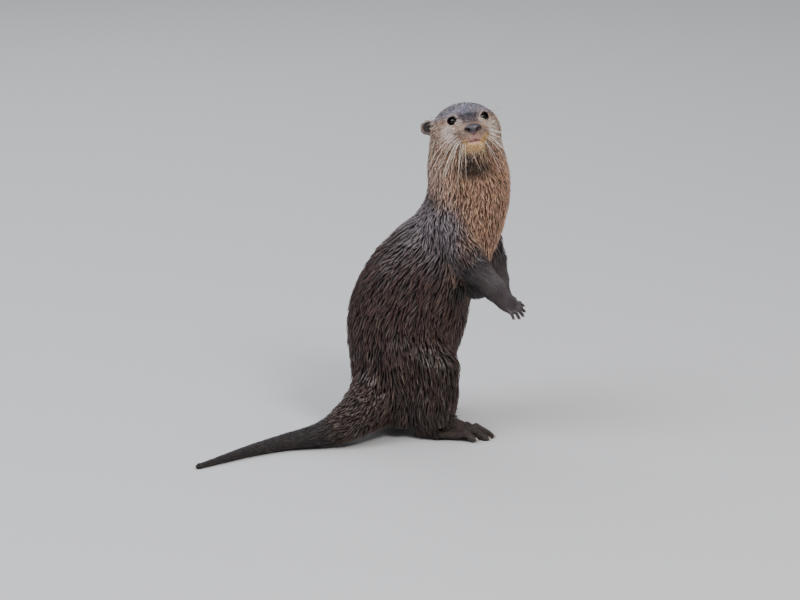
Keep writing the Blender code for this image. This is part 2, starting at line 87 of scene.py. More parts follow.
FAR = 1000.0  # stands for any distance too great to matter
SEED = 7
FLOOR_GAP = 0.15  # millimetres from the floor to the lowest hair

# Trunk, from the hips up to the back of the skull: x, y, z, half width, half depth, heading.
TRUNK = [
    (-42, 6, 50, 47, 46, 20),
    (-37, 6, 94, 59, 66, 18),
    (-29, 4, 144, 63, 75, 10),
    (-16, 2, 184, 61, 71, 0),
    (2, 0, 215, 57, 63, -12),
    (25, -2, 246, 53, 55, -26),
    (42, -5, 281, 52, 52, -40),
    (48, -8, 316, 52, 51, -55),
    (45, -10, 346, 50, 49, -66),
    (43, -10, 368, 43, 41, -74),
    (43, -8, 384, 30, 28, -78),
]
TAIL = [
    (-48, 0, 72, 36, 37, 205),
    (-76, -42, 46, 32, 31, 222),
    (-105, -67, 26, 24.5, 24.5, 212),
    (-138, -78, 15.5, 17, 16, 202),
    (-180, -89, 10, 12.5, 10.8, 202),
    (-222, -114, 6.8, 9, 7.4, 210),
    (-258, -144, 4.4, 6.4, 4.9, 217),
    (-283, -166, 3.0, 3.8, 3.3, 220),
]

# The head's own frame: forward out of the nose, left and up. HEAD_TURN is its heading, pitch and roll.
HEAD_CENTRE = np.array([43.0, -17.0, 390.0])
HEAD_TURN = (-82, 19, 7)
HEAD_REACH = 70  # no part of the head is farther from its centre along any axis
EYE = np.array([25.0, 17.4, 8.0])
EYE_RADIUS = 6.0
EYE_WIDE, EYE_TALL = 5.7, 4.4  # half width and half height of the opening between the lids
EYE_TILT = 12  # degrees that the outer corner stands over the inner one
GAZE = np.array([0.9, 0.42, 0.1])
NOSE = np.array([50.0, 0.0, -5.5])
EARS = {1: (-19.0, 39.0, 9.0), -1: (-9.5, -44.2, 9.6)}
EAR_SIZE = np.array([3.7, 10.6, 9.9])
EAR_HOLLOW = np.array([3.4, 7.9, 7.2])
EAR_TURN = {1: 66, -1: -20}  # the left ear lies back against the head
EAR_TILT = 5
EAR_HOLLOW_AT = 3.8  # how far in front of the ear's middle its hollow lies

# Limbs from the body outwards as x, y, z, radius, and how softly the stretches run together.
LIMBS = {
    "right_arm": (
        [
            (24, -32, 262, 27),
            (44, -52, 239, 20),
            (59, -61, 219, 15),
            (77, -67, 201, 12.5),
            (91, -71, 185, 11),
        ],
        12,
    ),
    "left_arm": (
        [
            (58, 22, 262, 26),
            (72, 34, 236, 17),
            (81, 33, 212, 13.5),
            (86, 26, 189, 11),
            (91, 18, 174, 9.8),
        ],
        12,
    ),
    "right_leg": ([(-30, -28, 100, 38), (2, -36, 86, 33), (4, -38, 52, 29), (-2, -36, 26, 22)], 14),
    "left_leg": ([(-38, 38, 100, 38), (-13, 52, 86, 33), (-18, 52, 52, 28), (-30, 43, 26, 21)], 14),
}
# Paws: wrist or heel, then heading, pitch and roll.
PAWS = {
    "right_arm": ((91, -71, 185), (-12, -34, 32)),
    "left_arm": ((91, 18, 174), (-30, -48, 0)),
    "right_leg": ((-6, -36, 9.5), (-3, -3, 0)),
    "left_leg": ((-38, 40, 9.5), (34, -3, 0)),
}
# Length and width of the palm, thickness, digit lengths, fan angle between digits, digit radius, web reach.
HAND = (14, 24, 11.5, (12, 15, 16, 15, 12.5), 20, 2.8, 6)
FOOT = (58, 36, 17, (23, 30, 33, 32, 25), 17, 5.4, 16)
INSTEP = ((4, 0, 17, 12.5), (44, 0, 5, 8))  # from above the heel to the middle of the foot, with radii
# How softly limbs and tail run into the body at their roots, and how much less so farther out.
ROOT_BLEND = {"arm": (16, 1.25), "leg": (28, 0.9)}
TAIL_BLEND = (30, 26)
NECK_BLEND = 18
# Loose wet coat that hangs behind each elbow and down the back of each shank: its top, its bottom and
# the radius at each.
HANGING = {
    "right_arm": ((56, -44, 214), (58, -44, 198), 17, 15),
    "left_arm": ((66, 22, 220), (69, 24, 209), 16, 14),
    "right_leg": ((-32, -37, 76), (-34, -35, 31), 29, 19.5),
    "left_leg": ((-44, 43, 82), (-52, 41, 30), 25, 18),
}

# The coat along each part: share along, depth, then the locks' spacing, length, width, strand half width,
# height of the tip over the skin and waviness.
COAT = {
    "trunk": [
        (0.0, 4.6, 3.1, 24, 2.5, 0.42, 4.4, 0.9),
        (0.4, 4.4, 3.1, 24, 2.5, 0.42, 4.2, 0.9),
        (0.55, 4.0, 2.4, 16, 2.1, 0.35, 3.8, 1.3),
        (0.75, 3.6, 2.0, 12.5, 1.7, 0.31, 3.4, 1.3),
        (1.0, 2.4, 2.0, 11, 1.4, 0.28, 2.2, 0.3),
    ],
    "head": [(0.0, 1.2, 1.7, 6.0, 1.2, 0.23, 1.2, 0.15), (1.0, 2.3, 2.2, 13, 1.9, 0.31, 2.7, 0.4)],
    "tail": [
        (0.0, 4.4, 2.8, 20, 2.4, 0.4, 4.2, 0.9),
        (0.25, 3.4, 2.6, 15, 2.0, 0.36, 3.3, 0.9),
        (0.42, 1.6, 2.3, 9, 1.2, 0.28, 1.1, 0.2),
        (0.6, 0.9, 2.2, 7, 0.9, 0.25, 0.5, 0.1),
        (1.0, 0.5, 2.2, 6, 0.8, 0.23, 0.3, 0.0),
    ],
    "arm": [
        (0.0, 3.8, 2.6, 17, 2.1, 0.36, 3.6, 0.7),
        (0.35, 3.0, 2.3, 12, 1.7, 0.33, 2.7, 0.5),
        (0.6, 1.1, 2.1, 7, 1.0, 0.24, 0.8, 0.1),
        (1.0, 0.6, 2.1, 4.5, 0.8, 0.21, 0.4, 0.0),
    ],
    "leg": [(0.0, 4.6, 3.1, 24, 2.5, 0.42, 4.4, 0.9), (1.0, 4.4, 2.9, 24, 2.4, 0.4, 4.4, 0.9)],
    "paw": [(0.0, 0.6, 2.0, 3.6, 0.8, 0.2, 0.45, 0.0)],
}
DEPTH, SPACING, LENGTH, WIDTH, HALF, HEIGHT, WAVE = range(7)


# --- shape of the body ---


def smooth_union(first, second, blend):
    """The nearer of two distances, with the crease between them filled over about `blend`."""
    share = np.clip(0.5 + 0.5 * (second - first) / blend, 0.0, 1.0)
    return second * (1 - share) + first * share - blend * share * (1 - share)


def smooth_cut(body, cutter, blend):
    """The body's distance with the cutter's inside taken away and the rim rounded."""
    return -smooth_union(-body, cutter, blend)


def unit(vector):
    vector = np.asarray(vector, float)
    return vector / np.maximum(np.linalg.norm(vector, axis=-1, keepdims=True), 1e-9)


def ramp(value, low, high):
    """0 below low, 1 above high, and smooth between."""
    share = np.clip((value - low) / (high - low), 0, 1)
    return share * share * (3 - 2 * share)


def near_box(points, low, high, margin=30.0):
    return np.all((points > low - margin) & (points < high + margin), axis=1)


def turned_frame(heading, pitch, roll):
    """Rows: forward, left and up of a frame with this heading, nose-up pitch and left-side-up roll."""
    h, p, r = np.radians([heading, pitch, roll])
    forward = np.array([np.cos(p) * np.cos(h), np.cos(p) * np.sin(h), np.sin(p)])
    level_left = np.array([-np.sin(h), np.cos(h), 0.0])
    level_up = np.cross(forward, level_left)
    left = level_left * np.cos(r) + level_up * np.sin(r)
    return np.array([forward, left, np.cross(forward, left)])


def section_distance(u, v, w, half_u, half_v, half_w):
    """Distance, to first order, from an ellipsoid with these half-sizes."""
    level = np.sqrt((u / half_u) ** 2 + (v / half_v) ** 2 + (w / half_w) ** 2)
    slope = np.sqrt((u / half_u**2) ** 2 + (v / half_v**2) ** 2 + (w / half_w**2) ** 2)
    return level * (level - 1) / np.maximum(slope, 1e-9)


def ellipsoid(points, centre, radii, axes=np.eye(3)):
    """Distance from an ellipsoid. axes holds its own three directions as rows."""
    centre = np.asarray(centre, float)
    found = np.full(len(points), FAR)
    near = near_box(points, centre - max(radii), centre + max(radii))
    if near.any():
        own = (points[near] - centre) @ np.asarray(axes).T
        found[near] = section_distance(*own.T, *radii)
    return found


def round_cone(points, start, end, start_radius, end_radius):
    """Distance from a tapered rod with round ends."""
    start, end = np.asarray(start, float), np.asarray(end, float)
    found = np.full(len(points), FAR)
    reach = max(start_radius, end_radius)
    near = near_box(points, np.minimum(start, end) - reach, np.maximum(start, end) + reach)
    if near.any():
        rod = end - start
        share = np.clip((points[near] - start) @ rod / (rod @ rod), 0, 1)
        radius = start_radius + (end_radius - start_radius) * share
        found[near] = np.linalg.norm(points[near] - start - share[:, None] * rod, axis=1) - radius
    return found


def chain_distance(points, stations, blend):
    """(distance, share of the way along) of tapered rods joined end to end."""
    found = np.full(len(points), FAR)
    nearest = np.full(len(points), FAR)
    along = np.zeros(len(points))
    count = len(stations) - 1
    stations = np.array(stations, float)
    for number, (start, end) in enumerate(zip(stations, stations[1:])):
        rod = round_cone(points, start[:3], end[:3], start[3], end[3])
        line = end[:3] - start[:3]
        share = np.clip((points - start[:3]) @ line / (line @ line), 0, 1)
        along = np.where(rod < nearest, (number + share) / count, along)
        nearest = np.minimum(nearest, rod)
        found = smooth_union(found, rod, blend)
    return found, along


def smooth_rows(rows, steps):
    """Rows of numbers joined by a Catmull-Rom curve, with `steps` samples to each gap."""
    rows = np.asarray(rows, float)
    ends = np.vstack([2 * rows[0] - rows[1], rows, 2 * rows[-1] - rows[-2]])
    t = np.linspace(0, 1, steps, endpoint=False)[:, None]
    found = []
    for a, b, c, d in zip(ends, ends[1:], ends[2:], ends[3:]):
        curve = 2 * b + (c - a) * t + (2 * a - 5 * b + 4 * c - d) * t**2
        found.append(0.5 * (curve + (3 * b - a - 3 * c + d) * t**3))
    return np.vstack([*found, rows[-1:]])


class Loft:
    """Elliptical sections along a smooth line. A section's width lies across its compass heading."""

    def __init__(self, stations, steps=16):
        rows = smooth_rows(stations, steps)
        centres = rows[:, :3]
        tangents = np.gradient(centres, axis=0)
        self.pitch = np.linalg.norm(tangents, axis=1)
        tangents /= self.pitch[:, None]
        heading = np.radians(rows[:, 5])
        across = np.stack([-np.sin(heading), np.cos(heading), 0 * heading], axis=1)
        across -= np.sum(across * tangents, axis=1, keepdims=True) * tangents
        across /= np.linalg.norm(across, axis=1, keepdims=True)
        self.table = np.hstack([centres, tangents, across, np.cross(across, tangents), rows[:, 3:5]])
        reach = rows[:, 3:5].max()
        self.low = centres.min(axis=0) - reach
        self.high = centres.max(axis=0) + reach
        self.last = len(self.table) - 1

    def rows_at(self, at):
        low = np.minimum(at.astype(int), len(self.table) - 2)
        share = (at - low)[:, None]
        return self.table[low] * (1 - share) + self.table[low + 1] * share

    def distance(self, points):
        """(distance, share of the way along) at each point, FAR where the loft is out of reach."""
        found = np.full(len(points), FAR)
        along = np.zeros(len(points))
        near = near_box(points, self.low, self.high)
        if near.any():
            own = points[near]
            centres = self.table[:, :3]
            squares = (centres**2).sum(axis=1)[None, :] - 2 * own @ centres.T
            at = squares.argmin(axis=1).astype(float)
            for _ in range(5):
                rows = self.rows_at(at)
                step = np.sum((own - rows[:, :3]) * rows[:, 3:6], axis=1)
                at = np.clip(at + 0.8 * step / self.pitch[np.round(at).astype(int)], 0, self.last)
            rows = self.rows_at(at)
            offset = own - rows[:, :3]
            beyond, across, front = (np.sum(offset * rows[:, n : n + 3], axis=1) for n in (3, 6, 9))
            width, depth = rows[:, 12], rows[:, 13]
            found[near] = section_distance(across, front, beyond, width, depth, np.minimum(width, depth))
            along[near] = at / self.last
        return found, along


TRUNK_LOFT = Loft(TRUNK)
TAIL_LOFT = Loft(TAIL)
HEAD_FRAME = turned_frame(*HEAD_TURN)


def to_head(points):
    return (points - HEAD_CENTRE) @ HEAD_FRAME.T


def from_head(row):
    return np.asarray(row, float) @ HEAD_FRAME + HEAD_CENTRE


def mirrored(row, side):
    return np.array([row[0], row[1] * side, row[2]])


def gaze_frame(side):
    outward = unit(mirrored(GAZE, side))
    sideways = unit(np.cross([0, 0, 1], outward))
    return np.array([outward, sideways, np.cross(outward, sideways)])


def ear_frame(side):
    return turned_frame(EAR_TURN[side], EAR_TILT, 0)


def to_ear(own, side):
    """Points of the head's own frame in an ear's: through the ear, across it and up it."""
    return (own - np.array(EARS[side])) @ ear_frame(side).T


def skull_distance(own):
    """Distance from the head without eyes, ears and nose, at points in the head's own frame."""
    head = ellipsoid(own, (-6, 0, 3), (40, 40, 29.5))
    head = smooth_union(head, ellipsoid(own, (10, 0, -6), (34, 33, 26)), 10)
    for side in (1, -1):
        head = smooth_union(head, ellipsoid(own, (0, 23.5 * side, -10), (25, 19, 21)), 12)
    head = smooth_union(head, ellipsoid(own, (26, 0, -9), (24, 23, 17)), 10)
    head = smooth_union(head, round_cone(own, (14, 0, 10), (43, 0, -1), 14, 8), 9)
    head = smooth_union(head, ellipsoid(own, (28, 0, -25), (18, 15, 10)), 6)
    for side in (1, -1):
        head = smooth_union(head, ellipsoid(own, (38, 9.5 * side, -12), (12.5, 12, 9.5)), 6)
        head = smooth_union(head, ellipsoid(own, (21, 16 * side, 13), (12, 10, 6)), 8)
    return head


def eye_opening(own, side):
    """Distance from the almond-shaped opening between the lids, at points in the head's own frame."""
    offset = (own - mirrored(EYE, side)) @ gaze_frame(side).T
    tilt = math.radians(EYE_TILT * side)
    across = offset[:, 1] * math.cos(tilt) + offset[:, 2] * math.sin(tilt)
    upward = offset[:, 2] * math.cos(tilt) - offset[:, 1] * math.sin(tilt)
    arc_centre = (EYE_WIDE**2 - EYE_TALL**2) / (2 * EYE_TALL)
    arcs = np.hypot(across, np.abs(upward) + arc_centre) - (arc_centre + EYE_TALL)
    return np.maximum(arcs, 1.0 - offset[:, 0])


def head_distance(points):
    """Distance from the outside of the head's coat, with eyelids, ears and nose."""
    found = np.full(len(points), FAR)
    near = near_box(points, HEAD_CENTRE - HEAD_REACH, HEAD_CENTRE + HEAD_REACH)
    own = to_head(points[near])
    head = skull_distance(own)
    for side in (1, -1):
        eye = mirrored(EYE, side)
        lids = np.linalg.norm(own - eye, axis=1) - EYE_RADIUS - 1
        head = smooth_union(head, lids, 3)
        head = smooth_cut(head, eye_opening(own, side), 0.8)
        axes = ear_frame(side)
        ear = ellipsoid(own, EARS[side], EAR_SIZE, axes)
        hollow = ellipsoid(own, EARS[side] + axes[0] * EAR_HOLLOW_AT, EAR_HOLLOW, axes)
        head = smooth_union(head, smooth_cut(ear, hollow, 1.5), 4)
    nose = ellipsoid(own, NOSE + [0, 0, 0.4], (5.3, 12.0, 6.2))
    nose = smooth_union(nose, ellipsoid(own, NOSE - [0, 0, 2.5], (4.5, 4.6, 5.2)), 3)
    found[near] = smooth_union(head, nose, 1.5)
    return found


def digits_of(wrist, turn, size):
    """(root, knuckle, tip, direction) of each digit of a paw."""
    length, width, _, digits, fan, _, _ = size
    forward, left, up = turned_frame(*turn)
    for number, reach in enumerate(digits):
        place = number / 2 - 1
        angle = np.radians(fan * place)
        ahead = forward * np.cos(angle) + left * np.sin(angle)
        root = wrist + forward * length * (0.86 - 0.18 * place**2) + left * place * width * 0.36
        knuckle = root + ahead * reach * 0.5 + up * reach * 0.17
        yield root, knuckle, root + ahead * reach - up * reach * 0.09, ahead


def paw_distance(points, wrist, turn, size):
    """Distance from a paw: a flat palm and five fanned digits, each bent at a knuckle, with webs between."""
    length, width, thickness, _, _, radius, web = size
    frame = turned_frame(*turn)
    forward = frame[0]
    wrist = np.asarray(wrist, float)
    palm = (length * 0.62, width * 0.5, thickness * 0.5)
    found = ellipsoid(points, wrist + forward * length * 0.5, palm, frame)
    for root, knuckle, tip, _ in digits_of(wrist, turn, size):
        digit = smooth_union(
            round_cone(points, root, knuckle, radius, radius * 0.92),
            round_cone(points, knuckle, tip, radius * 0.92, radius * 0.86),
            1.5,
        )
        found = smooth_union(found, digit, 2.2)
    sheet = ellipsoid(points, wrist + forward * length, (web, width * 0.52, 1.3), frame)
    return smooth_union(found, sheet, 2.0)


def paw_size(limb):
    return HAND if limb.endswith("arm") else FOOT


def limb_of(name):
    """The limb that a part is, or whose paw it is."""
    return name.removesuffix("_paw")


def heel_distance(points, heel, turn):
    """Distance from a hind foot's heel and instep."""
    frame = turned_frame(turn[0], 0, 0)
    heel = np.array(heel, float)
    start, end = (heel + np.array(row[:3]) @ frame for row in INSTEP)
    instep = round_cone(points, start, end, INSTEP[0][3], INSTEP[1][3])
    return smooth_union(ellipsoid(points, heel - [0, 0, 0.5], (13, 12, 10)), instep, 6)


def body_parts(points):
    """Each part's (distance, share of the way along), before they run together."""
    nothing = np.zeros(len(points))
    parts = {
        "trunk": TRUNK_LOFT.distance(points),
        "head": (head_distance(points), ramp(-to_head(points)[:, 0], -30, 16)),
        "tail": TAIL_LOFT.distance(points),
    }
    for name, (stations, blend) in LIMBS.items():
        limb, along = chain_distance(points, stations, blend)
        parts[name] = (smooth_union(limb, round_cone(points, *HANGING[name]), 10), along)
        paw = paw_distance(points, *PAWS[name], paw_size(name))
        if name.endswith("leg"):
            paw = smooth_union(paw, heel_distance(points, *PAWS[name]), 5)
        parts[name + "_paw"] = (paw, nothing)
    return parts


def joined(parts):
    """Distance from the whole otter."""
    found = smooth_union(parts["trunk"][0], parts["head"][0], NECK_BLEND)
    tail, along = parts["tail"]
    found = smooth_union(found, tail, TAIL_BLEND[0] - TAIL_BLEND[1] * along)
    for name in LIMBS:
        limb, along = parts[name]
        limb = smooth_union(limb, parts[name + "_paw"][0], 6)
        blend, fall = ROOT_BLEND[coat_kind(name)]
        found = smooth_union(found, limb, np.maximum(blend * (1 - fall * along), 3))
    return found


def part_weights(parts, softness=4.0):
    """How far each point belongs to each part, adding up to 1."""
    nearest = np.min([distance for distance, _ in parts.values()], axis=0)
    raw = {name: np.exp(-(distance - nearest) / softness) for name, (distance, _) in parts.items()}
    total = sum(raw.values())
    return {name: weight / total for name, weight in raw.items()}


def coat_kind(name):
    return "paw" if name.endswith("paw") else name.split("_")[-1]


def coat_values(parts, weights):
    """The coat's numbers at each point, as columns in the order DEPTH to WAVE."""
    found = 0
    for name, weight in weights.items():
        rows = np.array(COAT[coat_kind(name)])
        along = parts[name][1]
        values = np.stack([np.interp(along, rows[:, 0], column) for column in rows.T[1:]], axis=1)
        found = found + weight[:, None] * values
    return found


def bare_share(points):
    """1 on most of the body, falling to nearly 0 at the eyes, nose, lips and ears, where hair is shortest."""
    own = to_head(points)
    share = np.ones(len(points))
    for side in (1, -1):
        share *= 0.12 + 0.88 * ramp(np.linalg.norm(own - mirrored(EYE, side), axis=1), 7.5, 14)
        ear = np.linalg.norm(own - np.array(EARS[side]), axis=1)
        share *= 0.3 + 0.7 * ramp(ear, 8, 14)
    share *= 0.1 + 0.9 * ramp(np.linalg.norm((own - NOSE) * [1, 0.8, 1], axis=1), 8, 16)
    mouth = np.linalg.norm((own - [44, 0, -21]) * [1, 0.7, 1], axis=1)
    return share * (0.25 + 0.75 * ramp(mouth, 9, 22))


def mouth_height(own):
    """Height of the line between the lips, at points in the head's own frame."""
    return -19.2 - 0.055 * np.minimum(np.abs(own[:, 1]), 13) ** 2 * 0.8


def skin_distance(points):
    """Distance from the skin, with the folds that the coat's outline doesn't show."""
    parts = body_parts(points)
    found = joined(parts)
    found = found + coat_values(parts, part_weights(parts))[:, DEPTH] * bare_share(points)
    near = near_box(points, HEAD_CENTRE - HEAD_REACH, HEAD_CENTRE + HEAD_REACH, 0)
    own = to_head(points[near])
    head = found[near]
    lips = np.maximum(np.abs(own[:, 2] - mouth_height(own)) - 0.45, -(head + 3.5))
    lips = np.maximum(lips, 20 - own[:, 0])
    head = smooth_cut(head, lips, 1.6)
    head = smooth_cut(head, round_cone(own, (53, 0, -13), (51, 0, -18), 0.6, 0.6), 1.2)
    head = smooth_union(head, ellipsoid(own, (42.5, 0, -24.5), (6.5, 7, 3.6)), 2.5)
    head = smooth_cut(head, ellipsoid(own, NOSE + [5, 0, 0], (7, 11.7, 5.7)), 1.5)
    found[near] = head
    return found


# --- meshing a distance ---


def split_corners():
    """The cube corner patterns, out of 256, whose inside or outside corners fall in two or more groups."""
    corners = [(i, j, k) for i in (0, 1) for j in (0, 1) for k in (0, 1)]
    steps = [[sum(abs(p - q) for p, q in zip(first, second)) for second in corners] for first in corners]
    links = [[number for number, far in enumerate(row) if far == 1] for row in steps]
    split = np.zeros(256, bool)
    for pattern in range(1, 255):
        for wanted in (0, 1):
            group = [n for n in range(8) if (pattern >> n & 1) == wanted]
            seen = {group[0]}
            queue = [group[0]]
            while queue:
                for other in links[queue.pop()]:
                    if other in group and other not in seen:
                        seen.add(other)
                        queue.append(other)
            split[pattern] |= len(seen) < len(group)
    return split


def fill_pinches(values):
    """Fills each cell in which the surface would touch itself, so that the mesh is closed and single."""
    split = split_corners()
    cells = np.array(values.shape) - 1
    while True:
        pattern = np.zeros(cells, np.uint8)
        for number in range(8):
            i, j, k = number >> 2 & 1, number >> 1 & 1, number & 1
            solid = values[i : i + cells[0], j : j + cells[1], k : k + cells[2]] < 0
            pattern |= solid.astype(np.uint8) << number
        at = np.argwhere(split[pattern])
        if not len(at):
            return
        for number in range(8):
            spot = tuple((at + [number >> 2 & 1, number >> 1 & 1, number & 1]).T)
            values[spot] = np.minimum(values[spot], -0.02)


def spaced(*stops):
    """Grid positions along one axis from (position, spacing from here on) stops; the last one ends it."""
    found = []
    for (start, gap), (end, _) in zip(stops, stops[1:]):
        found.append(np.linspace(start, end, round((end - start) / gap) + 1)[:-1])
    return np.concatenate([*found, [stops[-1][0]]])


def sample_grid(distance, axes, block=8):
    """The distance at each grid point near the surface, and plus or minus FAR at the rest."""
    last = np.array([len(axis) for axis in axes]) - 1
    values = np.full(last + 1, FAR, np.float32)
    starts = [np.arange(0, count, block) for count in last]
    tiles = np.stack(np.meshgrid(*starts, indexing="ij"), -1).reshape(-1, 3)
    low = np.stack([axes[n][tiles[:, n]] for n in range(3)], 1)
    high = np.stack([axes[n][np.minimum(tiles[:, n] + block, last[n])] for n in range(3)], 1)
    middle = distance((low + high) / 2)
    reach = np.linalg.norm(high - low, axis=1) * 0.85
    for tile in tiles[middle < -reach]:
        i, j, k = np.minimum(tile + block, last) + 1
        values[tile[0] : i, tile[1] : j, tile[2] : k] = -FAR
    kept = tiles[np.abs(middle) <= reach]
    offsets = np.stack(np.meshgrid(*[np.arange(block + 1)] * 3, indexing="ij"), -1).reshape(-1, 3)
    for start in range(0, len(kept), 300):
        index = np.minimum((kept[start : start + 300, None] + offsets).reshape(-1, 3), last)
        values[tuple(index.T)] = distance(np.stack([axes[n][index[:, n]] for n in range(3)], 1))
    return values


def grid_mesh(distance, axes):
    """(points, quads) of the surface where distance is 0: one point in each grid cell that the surface
    crosses, and one quad round each grid edge that it crosses."""
    values = sample_grid(distance, axes)
    fill_pinches(values)
    solid = values < 0
    cells = np.array(values.shape) - 1
    total = np.zeros((*cells, 3), np.float32)
    hits = np.zeros(cells, np.int32)
    crossings = []
    for axis in range(3):
        first, second = [slice(None)] * 3, [slice(None)] * 3
        first[axis], second[axis] = slice(0, -1), slice(1, None)
        first, second = tuple(first), tuple(second)
        crossed = solid[first] != solid[second]
        at = np.argwhere(crossed)
        before, after = values[first][crossed], values[second][crossed]
        place = np.stack([axes[n][at[:, n]] for n in range(3)], 1)
        gap = axes[axis][at[:, axis] + 1] - axes[axis][at[:, axis]]
        place[:, axis] += gap * np.clip(before / (before - after), 0.02, 0.98)
        ring = []
        for du, dv in ((1, 1), (0, 1), (0, 0), (1, 0)):
            cell = at.copy()
            cell[:, (axis + 1) % 3] -= du
            cell[:, (axis + 2) % 3] -= dv
            spot = tuple(cell.T)
            np.add.at(total, spot, place)
            np.add.at(hits, spot, 1)
            ring.append(cell)
        crossings.append((ring, before < 0))
    number = np.full(hits.shape, -1, np.int64)
    number[hits > 0] = np.arange((hits > 0).sum())
    points = total[hits > 0] / hits[hits > 0][:, None]
    quads = []
    for ring, enters in crossings:
        faces = np.stack([number[tuple(cell.T)] for cell in ring], axis=1)
        faces[~enters] = faces[~enters][:, ::-1]
        quads.append(faces)
    return points, np.concatenate(quads)


# --- the lie of the coat and its markings ---

LEG_DROP = 2.2  # how strongly a leg's coat is drawn down
LIE_SOFTNESS = 12.0  # the lie turns from part to part more slowly than the colours change

# Colours on screen, 0 to 255.
COLOURS = {
    "back": (64, 46, 42),
    "belly": (72, 52, 44),
    "rump": (60, 41, 33),
    "neck": (184, 151, 133),
    "throat": (172, 134, 109),
    "shoulder": (116, 105, 109),
    "nape": (108, 96, 93),
    "throat_painted_shadow": (62, 43, 32),
    "elbow_fringe": (156, 124, 108),
    "armpit_painted_shade": (26, 20, 19),
    "tail_base": (72, 54, 48),
    "tail": (44, 37, 36),
    "upper_arm": (66, 58, 60),
    "forearm": (70, 61, 61),
    "forearm_painted_highlight": (106, 98, 102),
    "forearm_painted_shade": (38, 31, 31),
    "hand": (60, 51, 52),
    "back_of_hand_painted_highlight": (92, 82, 86),
    "leg": (56, 40, 33),
    "foot": (64, 52, 48),
    "head": (184, 150, 128),
    "crown_and_painted_sheen": (130, 124, 134),
    "back_of_head": (84, 71, 67),
    "pale_cheek": (234, 211, 196),
    "brow": (58, 56, 68),
    "forehead_painted_highlight": (124, 126, 146),
    "bridge": (74, 62, 66),
    "beside_nose": (200, 190, 184),
    "whisker_pad": (140, 116, 104),
    "chin": (236, 189, 130),
    "stained_lip": (206, 158, 96),
    "lips": (206, 158, 146),
    "lip_line": (120, 82, 78),
    "under_chin_painted_shadow": (62, 44, 35),
    "under_eye": (176, 160, 150),
    "eye_corner": (44, 36, 37),
    "lid": (50, 42, 43),
    "lid_edge": (18, 14, 15),
    "ear": (132, 112, 102),
    "ear_rim": (168, 156, 152),
    "in_ear": (40, 32, 32),
    "hoary": (206, 192, 176),
    "eyeball": (22, 14, 11),
    "iris": (40, 25, 18),
    "pupil": (5, 4, 4),
    "nose": (56, 47, 55),
    "nose_stem": (112, 78, 84),
    "nostril": (10, 8, 9),
    "claw_root": (110, 92, 88),
    "claw_tip": (186, 168, 152),
    "whisker": (232, 222, 206),
    "brow_hair": (170, 158, 150),
    "chin_hair": (200, 176, 140),
}

# Patches on the head in its own frame, in the order that they are laid: colour, strength, centre, half sizes,
# softness of the edge, and whether the other side has it too.
FACE_PATCHES = [
    ("pale_cheek", 1, (26, 23, -6), (15, 11, 10), 0.5, True),
    ("brow", 1, (37, 0, 11), (10, 15, 5.5), 0.4, True),
    # Painted highlight of wet sheen on the forehead.
    ("forehead_painted_highlight", 0.8, (30, -2, 19), (7, 7, 4), 0.6, False),
    ("bridge", 1, (45, 0, 3.5), (8, 10, 6.5), 0.5, True),
    ("beside_nose", 0.85, (37, 11.5, 2), (7, 3.2, 6), 0.5, True),
    ("whisker_pad", 1, (44, 9, -10), (10, 9, 6), 0.5, True),
]
MOUTH_PATCHES = [
    ("stained_lip", 0.8, (43, 15, -18), (7, 7, 6), 0.5, False),
    ("lips", 1, (47, 0, -19), (9, 8.5, 5.5), 0.4, True),
    ("lip_line", 1, (46, 0, -21), (9, 9, 1.1), 0.4, True),
    # Painted shadow under the chin.
    ("under_chin_painted_shadow", 1, (26, 0, -46), (26, 19, 9), 0.5, True),
]
# Where the painted shadow under the chin falls on the throat.
THROAT_PAINTED_SHADOW = ((24, -2, -46), (22, 21, 11))  # centre and half sizes in the head's own frame
# Painted shade in the armpit.
ARMPIT_PAINTED_SHADE = ((47, -51, 200), (25, 22, 20))  # centre and half sizes
ELBOW_FRINGE = ((9, -62, 246), (40, -46, 206), 2, 2)  # a pale line of hair from the shoulder to the armpit


def along_limb(name, along):
    """Direction outwards along a limb, turning into the paw's own direction at its end."""
    stations = np.array(LIMBS[name][0], float)[:, :3]
    ways = unit(np.diff(stations, axis=0))
    middles = (np.arange(len(ways)) + 0.5) / len(ways)
    return unit(np.stack([np.interp(along, middles, column) for column in ways.T], axis=1))


def lie_of_coat(points, parts, weights):
    """The way the hair lies: from the nose back over the head, down the trunk, out along tail and limbs."""
    own = to_head(points)
    found = np.zeros_like(points)
    for name, weight in weights.items():
        along = parts[name][1]
        if name == "trunk":
            way = -TRUNK_LOFT.rows_at(along * TRUNK_LOFT.last)[:, 3:6]
        elif name == "tail":
            way = TAIL_LOFT.rows_at(along * TAIL_LOFT.last)[:, 3:6]
        elif name == "head":
            away = unit(own - (NOSE + [2, 0, 3])) + [-0.9, 0, 0]
            away[:, 2] -= 0.5 * ramp(-own[:, 0], -30, 10)
            way = unit(away) @ HEAD_FRAME
        elif name.endswith("paw"):
            way = np.broadcast_to(turned_frame(*PAWS[limb_of(name)][1])[0], points.shape)
        elif name.endswith("leg"):
            way = unit(along_limb(name, along) + [0, 0, -LEG_DROP])
        else:
            way = along_limb(name, along)
        found += weight[:, None] * way
    return found


def ripple(points, wave, seed):
    """A smooth wandering number, about -1 to 1, that changes over about `wave` millimetres."""
    random = np.random.default_rng(seed)
    found = np.zeros(len(points))
    for _ in range(6):
        way = unit(random.normal(size=3)) / wave * random.uniform(0.6, 1.5)
        found += np.sin(points @ way * 2 * np.pi + random.uniform(0, 2 * np.pi))
    return found / 2.6


def linear(name):
    """A named colour in the linear numbers that a shader takes."""
    share = np.asarray(COLOURS[name], float) / 255
    return np.where(share <= 0.04045, share / 12.92, ((share + 0.055) / 1.055) ** 2.4)


def plain(name, points):
    """The named colour at every point."""
    return np.broadcast_to(linear(name), points.shape)


def over(base, name, share):
    """base with the named colour laid over it by share, which is 0 to 1 at each point."""
    return base + (linear(name) - base) * np.asarray(share)[:, None]


